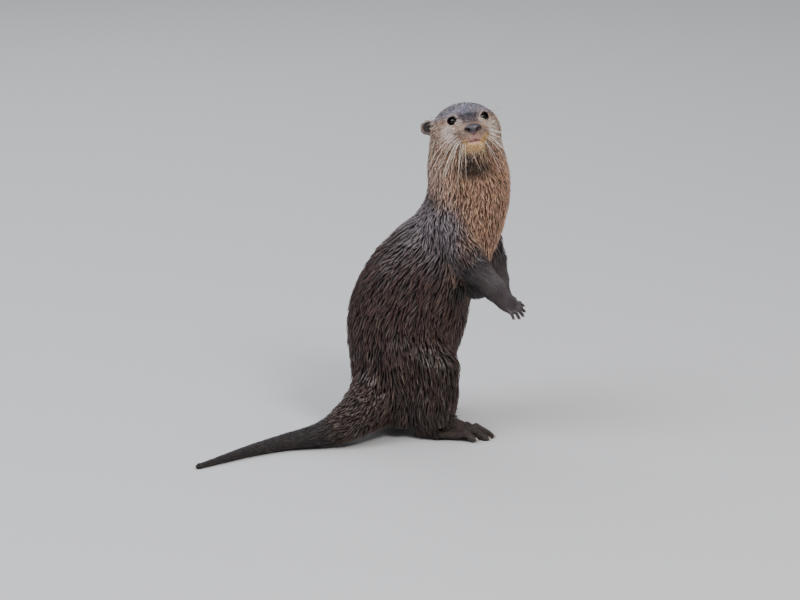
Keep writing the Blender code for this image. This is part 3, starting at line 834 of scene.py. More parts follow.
def spot(own, centre, radii, soft=0.5):
    """1 inside an ellipsoid in the head's own frame, fading out beyond it."""
    level = np.linalg.norm((own - np.asarray(centre, float)) / radii, axis=1)
    return 1 - ramp(level, 1 - soft, 1 + soft)


def patched(found, own, patches):
    """Colours of the head with these patches laid over them."""
    folded = own.copy()
    folded[:, 1] = np.abs(own[:, 1])
    for name, strength, centre, radii, soft, both in patches:
        found = over(found, name, strength * spot(folded if both else own, centre, radii, soft))
    return found


def eye_and_ear_markings(found, own, side):
    """Colours of the head with one side's eyelids and ear, with painted shade in the ear's hollow, laid over
    them.
    """
    gaze = gaze_frame(side)
    lids = eye_opening(own, side)
    below = ramp(-(own[:, 2] - EYE[2]), -1, 3)
    found = over(found, "under_eye", 0.6 * below * (1 - ramp(np.abs(lids - 3.2), 0.6, 1.8)))
    corner = mirrored(EYE, side) + gaze[0] * 4.5 - gaze[1] * 6.6 * side - gaze[2] * 2.2
    found = over(found, "eye_corner", spot(own, corner, (4, 3.4, 2.2), 0.4))
    found = over(found, "lid", 1 - ramp(lids, 0.8, 2.2))
    found = over(found, "lid_edge", 1 - ramp(lids, 0.1, 0.9))
    in_ear = to_ear(own, side)
    near_ear = 1 - ramp(np.linalg.norm(in_ear, axis=1), 9.5, 12.5)
    found = over(found, "ear", near_ear)
    found = over(found, "ear_rim", near_ear * ramp(in_ear[:, 2], 4, 8))
    # Painted shade in the ear's hollow: its round middle dark.
    round_middle = 1 - ramp(np.linalg.norm(in_ear[:, 1:], axis=1), 5.6, 8)
    return over(found, "in_ear", near_ear * round_middle * ramp(in_ear[:, 0], -2.2, -1.2))


def head_markings(own):
    """Colours of the head, at points in its own frame."""
    x, y, z = own.T
    # The top of the head greyer and lighter: partly its own grey, partly painted sheen of wet hair.
    found = over(plain("head", own), "crown_and_painted_sheen", ramp(z, 8, 20))
    found = over(found, "back_of_head", ramp(-x, 6, 30) * ramp(z, -30, 0))
    found = patched(found, own, FACE_PATCHES)
    chin = ramp(x, 24, 34) * (1 - ramp(z, -20, -15)) * ramp(z, -35, -30) * (1 - ramp(np.abs(y), 11, 16))
    found = over(found, "chin", chin)
    found = patched(found, own, MOUTH_PATCHES)
    for side in (1, -1):
        found = eye_and_ear_markings(found, own, side)
    return found


def trunk_markings(points, along, fringe):
    """Colours of the trunk: brown, pale from the chest up, grey over the shoulders and nape, with a painted
    shadow under the chin.
    """
    rows = TRUNK_LOFT.rows_at(along * TRUNK_LOFT.last)
    front = np.sum((points - rows[:, :3]) * rows[:, 9:12], axis=1) / rows[:, 13]
    found = over(plain("back", points), "belly", ramp(front, 0.0, 0.8))
    found = over(found, "rump", 1 - ramp(points[:, 2], 40, 110))
    found = over(found, "neck", ramp(front, -0.6, 0.2) * ramp(along, 0.58, 0.74))
    found = over(found, "throat", ramp(front, 0.3, 0.8) * ramp(along, 0.38, 0.55))
    shoulder = ramp(along, 0.4, 0.52) * (1 - ramp(along, 0.62, 0.72)) * (1 - ramp(front, 0.4, 0.8))
    found = over(found, "shoulder", 0.75 * shoulder)
    found = over(found, "nape", 0.7 * (1 - ramp(front, -0.9, -0.2)) * ramp(along, 0.6, 0.8))
    # Painted shadow on the throat under the chin.
    found = over(found, "throat_painted_shadow", spot(to_head(points), *THROAT_PAINTED_SHADOW))
    return over(found, "elbow_fringe", 0.8 * (1 - ramp(fringe, 0, 4)))


def arm_markings(trunk, points, along, name):
    """Colours of an arm: the trunk's at the shoulder, then grey-brown, with a painted highlight along the top
    of the forearm and painted shade under it.
    """
    stations = np.array(LIMBS[name][0], float)
    above = points[:, 2] - np.interp(along, np.linspace(0, 1, len(stations)), stations[:, 2])
    found = over(trunk, "upper_arm", ramp(along, 0.08, 0.3))
    found = over(found, "forearm", ramp(along, 0.4, 0.6))
    # Painted highlight along the top of the forearm and painted shade under it.
    found = over(found, "forearm_painted_highlight", 0.6 * ramp(above, 2, 12) * ramp(along, 0.4, 0.65))
    return over(found, "forearm_painted_shade", 0.7 * (1 - ramp(above, -11, 0)) * ramp(along, 0.35, 0.5))


def markings(points, parts, weights):
    """The coat's colour at each point of the skin, in linear numbers."""
    fringe = round_cone(points, *ELBOW_FRINGE)
    trunk = trunk_markings(points, parts["trunk"][1], fringe)
    found = 0
    for name, weight in weights.items():
        along = parts[name][1]
        if name == "trunk":
            colour = trunk
        elif name == "head":
            colour = head_markings(to_head(points))
        elif name == "tail":
            colour = over(plain("tail_base", points), "tail", ramp(along, 0.25, 0.45))
        elif name.endswith("arm_paw"):
            wrist, turn = PAWS[limb_of(name)]
            # Painted highlight: the top of the hand and digits lighter than the underside.
            back = (points - wrist) @ turned_frame(*turn)[2]
            colour = over(plain("hand", points), "back_of_hand_painted_highlight", 0.8 * ramp(back, -2, 4))
        elif name.endswith("leg_paw"):
            colour = plain("foot", points)
        elif name.endswith("arm"):
            colour = arm_markings(trunk, points, along, name)
        else:
            colour = plain("leg", points)
        found = found + weight[:, None] * colour
    # Painted shade in the armpit, between the upper arm and the body, kept off the pale fringe.
    centre, radii = ARMPIT_PAINTED_SHADE
    dark = 1 - ramp(np.linalg.norm((points - centre) / radii, axis=1), 0.6, 1.2)
    found = over(found, "armpit_painted_shade", 0.85 * dark * (1 - ramp(fringe, 0, 4) < 0.5))
    patchy = 1 + 0.1 * ripple(points, 34, 3) + 0.07 * ripple(points, 12, 4)
    return np.clip(found * patchy[:, None], 0.002, 1)


# Millimetres on the chart for each radian round a part, and along a whole limb.
HEAD_GIRTH, LIMB_GIRTH, PAW_GIRTH, LIMB_REACH = 30, 22, 12, 110
HEAD_CHART_TOP = 60  # keeps the head's places along the chart above zero


def angle_between(offset, first, second):
    """Angle of each offset, from the second direction towards the first."""
    return np.arctan2(np.sum(offset * first, axis=1), np.sum(offset * second, axis=1))


def rolled_out(name, points, own, along):
    """(millimetres round, millimetres along) of points on one part. own is the points in the head's frame."""
    if name in ("trunk", "tail"):
        loft = TRUNK_LOFT if name == "trunk" else TAIL_LOFT
        rows = loft.rows_at(along * loft.last)
        angle = angle_between(points - rows[:, :3], rows[:, 6:9], rows[:, 9:12])
        return np.stack([angle * rows[:, 12], along * loft.pitch.sum()], axis=1)
    if name == "head":
        return np.stack([np.arctan2(own[:, 1], own[:, 2]) * HEAD_GIRTH, HEAD_CHART_TOP - own[:, 0]], axis=1)
    start, turn = PAWS[limb_of(name)]
    frame = turned_frame(*turn)
    if name.endswith("paw"):
        offset = (points - np.array([start], float)) @ frame.T
        return np.stack([np.arctan2(offset[:, 1], offset[:, 2]) * PAW_GIRTH, offset[:, 0]], axis=1)
    stations = np.array(LIMBS[name][0], float)
    at = along * (len(stations) - 1)
    middle = np.stack([np.interp(at, np.arange(len(stations)), column) for column in stations.T[:3]], 1)
    way = along_limb(name, along)
    side = unit(np.cross(way, frame[1] + 0 * way))
    angle = angle_between(points - middle, side, np.cross(way, side))
    return np.stack([angle * LIMB_GIRTH, along * LIMB_REACH], axis=1)


def coat_chart(points, parts, weights):
    """(part number, place) of each point: the skin's own shape, rolled out flat part by part."""
    owner = np.argmax(list(weights.values()), axis=0)
    own = to_head(points)
    chart = np.zeros((len(points), 2))
    for number, name in enumerate(weights):
        here = owner == number
        chart[here] = rolled_out(name, points[here], own[here], parts[name][1][here])
    return owner, chart


# --- building pieces ---


def new_piece(name, points, faces, replaces=()):
    """A mesh object from points in millimetres of the body's frame and faces all of one size."""
    mesh = bpy.data.meshes.new(name)
    place = points * METRE + SHIFT
    place[:, 2] = np.maximum(place[:, 2], FLOOR_GAP * METRE)
    faces = np.asarray(faces, np.int32)
    mesh.vertices.add(len(place))
    mesh.vertices.foreach_set("co", place.astype(np.float32).ravel())
    mesh.loops.add(faces.size)
    mesh.loops.foreach_set("vertex_index", faces.ravel())
    mesh.polygons.add(len(faces))
    mesh.polygons.foreach_set("loop_start", np.arange(0, faces.size, faces.shape[1], dtype=np.int32))
    mesh.polygons.foreach_set("use_smooth", np.ones(len(faces), bool))
    mesh.update(calc_edges=True)
    mesh.validate()
    made = bpy.data.objects.new(name, mesh)
    bpy.context.scene.collection.objects.link(made)
    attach(made, "root")
    if replaces:
        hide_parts(*replaces)
    return made


def add_colour(piece, colours):
    layer = piece.data.color_attributes.new("Markings", "FLOAT_COLOR", "POINT")
    full = np.hstack([colours, np.ones((len(colours), 1))]).astype(np.float32)
    layer.data.foreach_set("color", full.ravel())


def add_map(piece, name, places):
    """A UV map from one place for each face corner."""
    layer = piece.data.uv_layers.new(name=name)
    layer.uv.foreach_set("vector", np.asarray(places, np.float32).ravel())


def corner_vertices(piece):
    found = np.empty(len(piece.data.loops), np.int32)
    piece.data.loops.foreach_get("vertex_index", found)
    return found


def vertex_normals(points, quads):
    """Unit normals of a mesh of quads."""
    across = np.cross(points[quads[:, 2]] - points[quads[:, 0]], points[quads[:, 3]] - points[quads[:, 1]])
    found = np.zeros_like(points)
    for corner in range(4):
        np.add.at(found, quads[:, corner], across)
    return unit(found)


def node(tree, kind, inputs=None, **settings):
    """A new node with these settings, and these values on its unlinked inputs."""
    made = tree.nodes.new(kind)
    for name, value in settings.items():
        setattr(made, name, value)
    for name, value in (inputs or {}).items():
        made.inputs[name].default_value = value
    return made


def new_material(name, roughness, coat=0.0, specular=0.5):
    """(material, its node tree, its shader) with the shader's fixed numbers set."""
    material = bpy.data.materials.new(name)
    material.use_nodes = True
    tree = material.node_tree
    shader = tree.nodes["Principled BSDF"]
    shader.inputs["Roughness"].default_value = roughness
    shader.inputs["Specular IOR Level"].default_value = specular
    shader.inputs["Coat Weight"].default_value = coat
    shader.inputs["Coat Roughness"].default_value = 0.12
    return material, tree, shader


def noise_over(tree, vector, scale, detail=2.0, roughness=0.5):
    """The value of a noise laid over these coordinates."""
    made = node(tree, "ShaderNodeTexNoise", {"Scale": scale, "Detail": detail, "Roughness": roughness})
    tree.links.new(vector, made.inputs["Vector"])
    return made.outputs["Fac"]


def spread(tree, value, low, high):
    """A node that maps 0.3 to 0.7 of value onto low to high."""
    limits = {"From Min": 0.3, "From Max": 0.7, "To Min": low, "To Max": high}
    made = node(tree, "ShaderNodeMapRange", limits)
    tree.links.new(value, made.inputs["Value"])
    return made.outputs["Result"]


def marked(tree, shader):
    """The marking's colour on the shader's base colour."""
    source = node(tree, "ShaderNodeAttribute", attribute_name="Markings")
    tree.links.new(source.outputs["Color"], shader.inputs["Base Color"])


def tinted(tree, shader, factor):
    """The marking's colour times factor, on the shader's base colour."""
    source = node(tree, "ShaderNodeAttribute", attribute_name="Markings")
    scaled = node(tree, "ShaderNodeVectorMath", operation="SCALE")
    tree.links.new(source.outputs["Color"], scaled.inputs[0])
    tree.links.new(factor, scaled.inputs["Scale"])
    tree.links.new(scaled.outputs["Vector"], shader.inputs["Base Color"])


def mottled(tree, shader, scale, detail, low, high):
    """The marking's colour, made low to high times as bright by a fine noise. Gives the noise's value."""
    where = node(tree, "ShaderNodeTexCoord")
    tone = noise_over(tree, where.outputs["Object"], scale, detail)
    tinted(tree, shader, spread(tree, tone, low, high))
    return tone


def bumped(tree, shader, height, depth):
    bump = node(tree, "ShaderNodeBump", {"Strength": 1.0, "Distance": depth})
    tree.links.new(height, bump.inputs["Height"])
    tree.links.new(bump.outputs["Normal"], shader.inputs["Normal"])


def skin_material():
    """Skin under short, flat, wet hair: streaks run the way the hair lies."""
    material, tree, shader = new_material("skin_and_short_fur", 0.5, specular=0.28)
    source = node(tree, "ShaderNodeUVMap", uv_map="Lie")
    stretched = node(tree, "ShaderNodeMapping", {"Scale": (1.6, 0.28, 1.0)})
    tree.links.new(source.outputs["UV"], stretched.inputs["Vector"])
    streaks = noise_over(tree, stretched.outputs["Vector"], 1.0, 3.0, 0.6)
    tinted(tree, shader, spread(tree, streaks, 0.55, 1.4))
    bumped(tree, shader, streaks, 0.0011)
    tree.links.new(spread(tree, streaks, 0.55, 0.28), shader.inputs["Roughness"])
    return material


def hair_material():
    """Wet guard hair, smooth along each strand, with a little shift of tone from strand to strand."""
    material, tree, shader = new_material("wet_guard_hair", 0.38, coat=0.18, specular=0.5)
    tone = mottled(tree, shader, 260.0, 2.0, 0.86, 1.14)
    tree.links.new(spread(tree, tone, 0.28, 0.44), shader.inputs["Roughness"])
    return material


def covered(piece, material):
    piece.data.materials.clear()
    piece.data.materials.append(material)


# --- the skin ---

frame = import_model()
CAD_LOW, CAD_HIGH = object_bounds()
eye_low, eye_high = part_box("eye_right")
SHIFT = np.array((eye_low + eye_high) / 2) - from_head(mirrored(EYE, -1)) * METRE

# Finest where the face, the hands and the feet are.
SKIN_AXES = (
    spaced((-292, 2.2), (-150, 1.7), (-8, 0.8), (94, 1.1), (126, 1.1)),
    spaced((-176, 2.0), (-82, 0.8), (32, 1.7), (100, 1.7)),
    spaced((-10, 1.2), (30, 1.7), (160, 1.2), (200, 1.7), (345, 0.8), (430, 0.8)),
)
# Coat that stands out behind the right elbow: where, its half sizes, and what it adds to the coat's numbers.
LONG_ELBOW = ([52, -50, 196], [15, 17, 13], [1.2, 0, 7, 0.8, 0.06, 1.8, 1.2])
CHART_SEAM = 40  # millimetres; a face that spans more of the chart lies across its seam

skin_points, skin_quads = grid_mesh(skin_distance, SKIN_AXES)
skin_points = skin_points.astype(float)
skin_normals = vertex_normals(skin_points, skin_quads)
skin_parts = body_parts(skin_points)
skin_weights = part_weights(skin_parts)
skin_coat = coat_values(skin_parts, skin_weights)
centre, radii, added = LONG_ELBOW
from_elbow = np.linalg.norm((skin_points - centre) / radii, axis=1)
skin_coat += (1 - ramp(from_elbow, 0.7, 1.3))[:, None] * added
skin_lie = unit(lie_of_coat(skin_points, skin_parts, part_weights(skin_parts, LIE_SOFTNESS)))
skin_colour = markings(skin_points, skin_parts, skin_weights)
skin_owner, skin_chart = coat_chart(skin_points, skin_parts, skin_weights)

FLESH = [n for n in frame["nodes"] if not n.startswith("eye") and n != "nose"]
skin = new_piece("skin", skin_points, skin_quads, FLESH)
# Painted shade: the skin is darker the deeper it lies under the coat, as shade between the locks, and less so
# under pale hair.
pale = ramp(skin_colour.mean(axis=1), 0.08, 0.26)
under = 1 - 0.86 * ramp(skin_coat[:, DEPTH], 1.2, 4.4) * (1 - 0.4 * pale)
add_colour(skin, skin_colour * under[:, None])
lie_places = skin_chart[corner_vertices(skin)].reshape(-1, 4, 2)
turns = lie_places[:, :, 0] - lie_places[:, :1, 0]
lie_places[:, :, 0] -= np.where(np.abs(turns) > CHART_SEAM, turns, 0)
add_map(skin, "Lie", lie_places.reshape(-1, 2))
covered(skin, skin_material())


# --- the coat ---

PATCH = 0.003  # side of each strand's place on the OFBake map
PIECE_TRIANGLES = 190_000
CANDIDATES = 3.6  # roots tried for each one that the spacing has room for
ROOT_CELL = 2.0  # millimetres, the grid that neighbouring roots are found in
LOCK_STEPS = 5
STRAND_ROOM = 0.72  # millimetres of a lock's width to each strand
MOST_STRANDS = 5
HANG_DEPTH = (2.0, 3.0)  # coat deep enough to hang from an underside
HANG_CLEAR = (14, 24)  # and this far above the floor
LONG_COAT = ("trunk", "leg")  # kinds of coat whose strands bend at one more station


def face_means(values):
    return values[skin_quads].mean(axis=1)


def crowded(grid, here, cell, gap):
    """Whether a root already in the grid stands nearer than gap."""
    reach = math.ceil(gap / ROOT_CELL)
    for key in itertools.product(*(range(n - reach, n + reach + 1) for n in cell)):
        for x, y, z in grid.get(key, ()):
            if (x - here[0]) ** 2 + (y - here[1]) ** 2 + (z - here[2]) ** 2 < gap * gap:
                return True
    return False


def scattered(points, quads, spacing, random):
    """(place, face) of roots over the skin, no two nearer than the spacing there."""
    corner = points[quads]
    area = np.linalg.norm(np.cross(corner[:, 2] - corner[:, 0], corner[:, 3] - corner[:, 1]), axis=1) / 2
    want = area / spacing**2 * CANDIDATES
    total = int(want.sum())
    face = np.searchsorted(np.cumsum(want), random.uniform(0, want.sum(), total)).clip(0, len(quads) - 1)
    u, v = random.uniform(size=(2, total))
    share = np.stack([(1 - u) * (1 - v), u * (1 - v), u * v, (1 - u) * v], axis=1)
    place = np.sum(corner[face] * share[:, :, None], axis=1)
    cells = np.floor(place / ROOT_CELL).astype(int)
    kept, grid = [], {}
    for number, (here, cell, gap) in enumerate(zip(place.tolist(), cells.tolist(), spacing[face].tolist())):
        if not crowded(grid, here, cell, gap):
            grid.setdefault(tuple(cell), []).append(here)
            kept.append(number)
    return place[kept], face[kept]


def turned(way, normal, angle):
    """way turned by angle about normal."""
    return way * np.cos(angle)[:, None] + np.cross(normal, way) * np.sin(angle)[:, None]


def walked(tree, place, face, length, turn):
    """Paths over the skin along the lie of the coat: (places, normals), one row of stations to each root.
    Where long coat reaches an underside it leaves the skin and hangs."""
    places, normals = [place], [face_normal[face]]
    for _ in range(LOCK_STEPS):
        way = face_lie[face]
        normal = face_normal[face]
        way = unit(way - np.sum(way * normal, axis=1, keepdims=True) * normal)
        step = (length / LOCK_STEPS)[:, None]
        ahead = place + turned(way, normal, turn) * step
        found = [tree.find_nearest(row) for row in ahead.tolist()]
        hang = ramp(face_coat[face, DEPTH], *HANG_DEPTH) * (1 - ramp(normal[:, 2], -0.6, -0.1))
        hang = (hang * ramp(place[:, 2], *HANG_CLEAR))[:, None]
        fallen = place + unit(way + [0, 0, -1.5]) * step
        place = np.array([tuple(row[0]) for row in found]) * (1 - hang) + fallen * hang
        face = np.array([row[2] for row in found])
        places.append(place)
        normals.append(face_normal[face])
    return np.stack(places, 1), np.stack(normals, 1)


def strands_of(paths, normals, coat, random, rings):
    """Each lock's strands, drawn together at its tip: (points, lock, number in the lock, place across it).
    A strand has three points to each ring and one at its tip."""
    locks = len(paths)
    count = np.clip(np.round(coat[:, WIDTH] / STRAND_ROOM), 1, MOST_STRANDS).astype(int)
    lock = np.repeat(np.arange(locks), count)
    order = np.arange(len(lock)) - np.repeat(np.cumsum(count) - count, count)
    beside = np.where(count[lock] > 1, (order + 0.5) / count[lock] - 0.5, 0)
    beside = beside + random.uniform(-0.07, 0.07, len(lock))
    begin = random.uniform(-0.12, 0.2, len(lock))
    finish = random.uniform(0.84, 1.02, len(lock))
    share = np.arange(rings + 1) / rings
    reach = begin[:, None] + (finish - begin)[:, None] * share[None, :]
    steps = paths.shape[1] - 1
    at = np.clip(reach * steps, 0, steps - 1e-6)
    low = at.astype(int)
    part = (at - low)[:, :, None]
    rows = lock[:, None]
    middle = paths[rows, low] * (1 - part) + paths[rows, low + 1] * part
    middle += (paths[rows, low + 1] - paths[rows, low]) * np.minimum(reach * steps, 0)[:, :, None]
    up = unit(normals[rows, low] * (1 - part) + normals[rows, low + 1] * part)
    side = unit(np.cross(up, unit(paths[rows, low + 1] - paths[rows, low])))
    grown = np.clip(reach, 0, 1)
    width = coat[lock, WIDTH][:, None]
    gather = 0.9 - 0.76 * grown**1.1
    phase = random.uniform(0, 2 * np.pi, locks)[lock][:, None]
    wave = coat[lock, WAVE][:, None] * np.sin(grown * 5.2 + phase) * grown
    offset = beside[:, None] * width * gather + wave
    rise = random.uniform(0.62, 1.32, locks)[lock][:, None]
    arch = (1 - (2 * beside[:, None]) ** 2) * np.sin(grown * np.pi) * width * 0.2
    height = coat[lock, HEIGHT][:, None] * rise * grown**0.85 + arch - 0.25 * (1 - share) ** 2
    half = coat[lock, HALF][:, None] * random.uniform(0.85, 1.15, (len(lock), 1))
    half = (half * (0.75 + 0.35 * np.sin(share * np.pi)[None, :]))[:, :-1, None]
    line = middle + side * offset[:, :, None] + up * height[:, :, None]
    along = unit(np.gradient(line, axis=1))
    across = unit(np.cross(up, along))
    lift = np.cross(along, across)[:, :-1]
    body, across = line[:, :-1], across[:, :-1]
    left = body + across * half - lift * half * 0.35
    ridge = body + lift * half * 0.75
    right = body - across * half - lift * half * 0.35
    rings_of_points = np.stack([left, ridge, right], axis=2).reshape(len(lock), -1, 3)
    return np.concatenate([rings_of_points, line[:, -1:]], axis=1), lock, order, beside


def tube_faces(rings, sides, root):
    """Triangles of a closed tube of rings with a point after the last, over these at its root."""
    faces = list(root)
    for ring in range(rings - 1):
        a, b = ring * sides, (ring + 1) * sides
        for i in range(sides):
            j = (i + 1) % sides
            faces += [(a + i, a + j, b + j), (a + i, b + j, b + i)]
    last, tip = (rings - 1) * sides, rings * sides
    faces += [(last + i, last + (i + 1) % sides, tip) for i in range(sides)]
    return np.array(faces)


def coat_piece(name, points, root_chart, colours, rings):
    """One piece of coat. Its OFBake map gives each strand a patch at its root's place on the skin's chart."""
    template = tube_faces(rings, 3, [(0, 2, 1)])
    size = points.shape[1]
    faces = (template[None] + np.arange(len(points))[:, None, None] * size).reshape(-1, 3)
    piece = new_piece(name, points.reshape(-1, 3), faces)
    share = np.concatenate([np.repeat(np.arange(rings) / rings, 3), [1.0]])
    ridge = np.concatenate([np.tile([0.0, 1.0, 0.0], rings), [0.6]])
    # Painted light along each strand: painted shade at the root and a painted highlight along the ridge.
    tone = (0.1 + 1.0 * share**0.8) * (0.6 + 0.95 * ridge)  # dark at the root, light along the ridge
    add_colour(piece, (colours[:, None] * tone[None, :, None]).reshape(-1, 3).clip(0, 1))
    low, high = root_chart.min(axis=0), root_chart.max(axis=0)
    start = 0.004 + 0.988 * (root_chart - low) / np.maximum(high - low, 1e-6)
    across = np.concatenate([np.tile([0.0, 0.5, 1.0], rings), [0.5]])
    inside = np.stack([across, share], axis=1) * PATCH
    places = (start[:, None] + inside[None] - PATCH / 2).reshape(-1, 2)
    add_map(piece, "OFBake", places[corner_vertices(piece)])
    covered(piece, HAIR)


HAIR = hair_material()
face_lie = unit(face_means(skin_lie))
face_normal = unit(face_means(skin_normals))
face_coat = face_means(skin_coat)
face_colour = face_means(skin_colour)
face_bare = bare_share(face_means(skin_points))
face_coat[face_bare < 0.6, LENGTH] *= 0.7


def hairless(place, normal):
    """True where no tuft grows: lips, nose, eye openings, inside the ears, soles and the resting flats."""
    own = to_head(place)
    found = (place[:, 2] < 2.5) | ((normal[:, 2] < -0.75) & (place[:, 2] < 14))
    for side in (1, -1):
        found |= eye_opening(own, side) < 1.2
        in_ear = to_ear(own, side)
        found |= (np.linalg.norm(in_ear[:, 1:], axis=1) < 7.4) & (in_ear[:, 0] < 5) & (in_ear[:, 0] > -1.8)
    found |= np.linalg.norm((own - NOSE) / [7, 13, 7.7], axis=1) < 1
    found |= np.linalg.norm((own - [46, 0, -20]) / [7, 6.5, 5], axis=1) < 1
    found |= (np.abs(own[:, 2] - mouth_height(own)) < 0.9) & (own[:, 0] > 20) & (np.abs(own[:, 1]) < 26)
    return found


def lock_colours(place, face, random):
    """Each lock's colour: its face's own, varied, with some hoary locks, most of them on the face."""
    on_head = skin_weights["head"][skin_quads[face, 0]]
    varied = 0.24 + 0.16 * on_head
    tone = np.exp(random.normal(0, 1, len(face)) * varied)[:, None]
    tone = tone * (1 + random.normal(0, 0.03, (len(face), 3)))
    own = to_head(place)
    forward = ramp(own[:, 0], -28, 8) * (1 - 0.75 * ramp(own[:, 2], 0, 10))
    hoary = (0.07 + 0.55 * on_head * forward) * (random.uniform(size=len(face)) < 0.24)
    return over(face_colour[face], "hoary", hoary) * tone


def grow_coat():
    """The whole coat, part by part, each part in pieces of under PIECE_TRIANGLES."""
    random = np.random.default_rng(SEED)
    place, face = scattered(skin_points, skin_quads, face_coat[:, SPACING], random)
    kept = ~hairless(place, face_normal[face])
    place, face = place[kept], face[kept]
    coat = face_coat[face]
    coat[:, HEIGHT] *= face_bare[face]
    coat[:, LENGTH] *= random.uniform(0.75, 1.25, len(face))
    coat[:, WIDTH] *= random.uniform(0.8, 1.2, len(face))
    tree = BVHTree.FromPolygons(skin_points.tolist(), skin_quads.tolist())
    turn = 0.17 * ripple(place, 30, 11) + 0.14 * ripple(place, 9, 12) + random.normal(0, 0.1, len(face))
    paths, normals = walked(tree, place, face, coat[:, LENGTH], turn)
    owner = skin_owner[skin_quads[face, 0]]
    chart = skin_chart[skin_quads[face, 0]]
    colour = lock_colours(place, face, random)
    for number, name in enumerate(skin_weights):
        kind = coat_kind(name)
        rings = 4 if kind in LONG_COAT else 3
        here = np.flatnonzero(owner == number)
        points, lock, order, beside = strands_of(paths[here], normals[here], coat[here], random, rings)
        lock = here[lock]
        # Painted light across each lock: a painted highlight on its middle strands and painted shade on its
        # edge strands.
        middle = 1 - (2 * beside[:, None]) ** 2
        colours = colour[lock] * (0.55 + 0.8 * middle) * random.uniform(0.9, 1.1, (len(lock), 1))
        roots = chart[lock] + np.stack([order * 0.6, 0 * order], axis=1)
        pieces = math.ceil(len(lock) * (6 * rings - 2) / PIECE_TRIANGLES)
        cut_by = chart[lock, 1] if kind in LONG_COAT else lock
        for piece, rows in enumerate(np.array_split(np.argsort(cut_by, kind="stable"), pieces)):
            title = "coat_" + name + (f"_{piece + 1}" if pieces > 1 else "")
            coat_piece(title, points[rows], roots[rows], colours[rows], rings)


grow_coat()


# --- eyes, nose, claws and whiskers ---

NOSE_AXES = (spaced((40, 0.4), (60, 0.4)), spaced((-13, 0.4), (13, 0.4)), spaced((-18, 0.4), (6, 0.4)))
WHISKERS_A_SIDE = 13
WHISKER_ANGLES = {1: (-4, -70), -1: (-20, -84)}  # degrees from level, of each side's first and last
BROW_HAIRS = 4
# Chin hairs: root and direction in the head's own frame, and length.
CHIN_HAIRS = [
    ((41, 4, -31), (0.35, 0.1, -1), 26),
    ((40, -5, -31), (0.3, 0.25, -1), 30),
    ((38, 8, -30), (0.2, 0.4, -1), 22),
    ((39, -1, -33), (0.4, -0.1, -1), 20),
]


def sphere_mesh(columns, rows):
    """(points, faces) of a unit ball of triangles, its pole along X. The triangulation's own order changes
    from run to run, so each face starts at its lowest point and the faces are sorted."""
    built = bmesh.new()
    bmesh.ops.create_uvsphere(built, u_segments=columns, v_segments=rows, radius=1)
    bmesh.ops.triangulate(built, faces=built.faces[:])
    points = np.array([tuple(v.co) for v in built.verts])[:, [2, 0, 1]]
    faces = [[v.index for v in face.verts] for face in built.faces]
    built.free()
    return points, np.array(sorted(min(face[n:] + face[:n] for n in range(3)) for face in faces))


def eye_material():
    material, tree, shader = new_material("wet_eye", 0.2, coat=1.0, specular=0.0)
    shader.inputs["Coat Roughness"].default_value = 0.02
    marked(tree, shader)
    return material


def eye_piece(side, word, look):
    """An eyeball with a cornea that stands proud, a dark brown iris and a pupil."""
    points, faces = sphere_mesh(64, 48)
    off_axis = np.degrees(np.arccos(np.clip(points[:, 0], -1, 1)))
    radius = EYE_RADIUS - 0.12 + 0.35 * (1 - ramp(off_axis, 20, 44))
    place = from_head(mirrored(EYE, side) + (points * radius[:, None]) @ gaze_frame(side))
    piece = new_piece(f"eyeball_{word}", place, faces, (f"eye_{word}",))
    fibres = 0.75 + 0.25 * np.sin(np.arctan2(points[:, 1], points[:, 2]) * 23)
    iris = ramp(off_axis, 18, 28) * (1 - ramp(off_axis, 40, 50)) * fibres
    colour = over(plain("eyeball", points), "iris", iris)
    add_colour(piece, over(colour, "pupil", 1 - ramp(off_axis, 15, 20)))
    covered(piece, look)


def nose_distance(own):
    """Distance from the nose pad, in the head's own frame: a dome over a narrow stem, with two nostrils."""
    pad = ellipsoid(own, NOSE - [0.2, 0, 0], (4.9, 11.6, 6.1))
    pad = smooth_union(pad, ellipsoid(own, NOSE - [0, 0, 3.2], (4.4, 4.2, 5.4)), 2.5)
    pad = smooth_cut(pad, round_cone(own, NOSE + [6.2, 0, 1], NOSE + [5, 0, -9], 0.7, 0.7), 1.2)
    for side in (1, -1):
        tilt = np.array([[1, 0, 0], [0, 0.87 * side, 0.5], [0, -0.5 * side, 0.87]])
        hole = ellipsoid(own, NOSE + [4, 6.7 * side, -1.6], (4.5, 3.6, 1.85), tilt)
        pad = smooth_cut(pad, hole, 0.9)
        slit = round_cone(own, NOSE + [3.2, 8.3 * side, -2.5], NOSE + [1.5, 11.6 * side, -3.4], 0.8, 0.5)
        pad = smooth_cut(pad, slit, 0.8)
    return pad


def nose_material():
    """Bare, finely pebbled leather."""
    material, tree, shader = new_material("nose_leather", 0.34, coat=0.25)
    where = node(tree, "ShaderNodeTexCoord")
    pebbles = node(tree, "ShaderNodeTexVoronoi", {"Scale": 1500.0})
    tree.links.new(where.outputs["Object"], pebbles.inputs["Vector"])
    mottled(tree, shader, 500.0, 3.0, 0.75, 1.25)
    bumped(tree, shader, pebbles.outputs["Distance"], 0.00025)
    return material


def nose_piece():
    own, quads = grid_mesh(nose_distance, NOSE_AXES)
    own = own.astype(float)
    piece = new_piece("nose_pad", from_head(own), quads, ("nose",))
    colour = over(plain("nose", own), "nose_stem", 1 - ramp(own[:, 2], -14, -9))
    for side in (1, -1):
        # Painted shade in each nostril: near black over the hole.
        hole = np.linalg.norm((own - (NOSE + [2.5, 6.9 * side, -1.6])) / [4, 3.7, 2.3], axis=1)
        colour = over(colour, "nostril", 1 - ramp(hole, 0.75, 1.1))
    add_colour(piece, colour)
    covered(piece, nose_material())


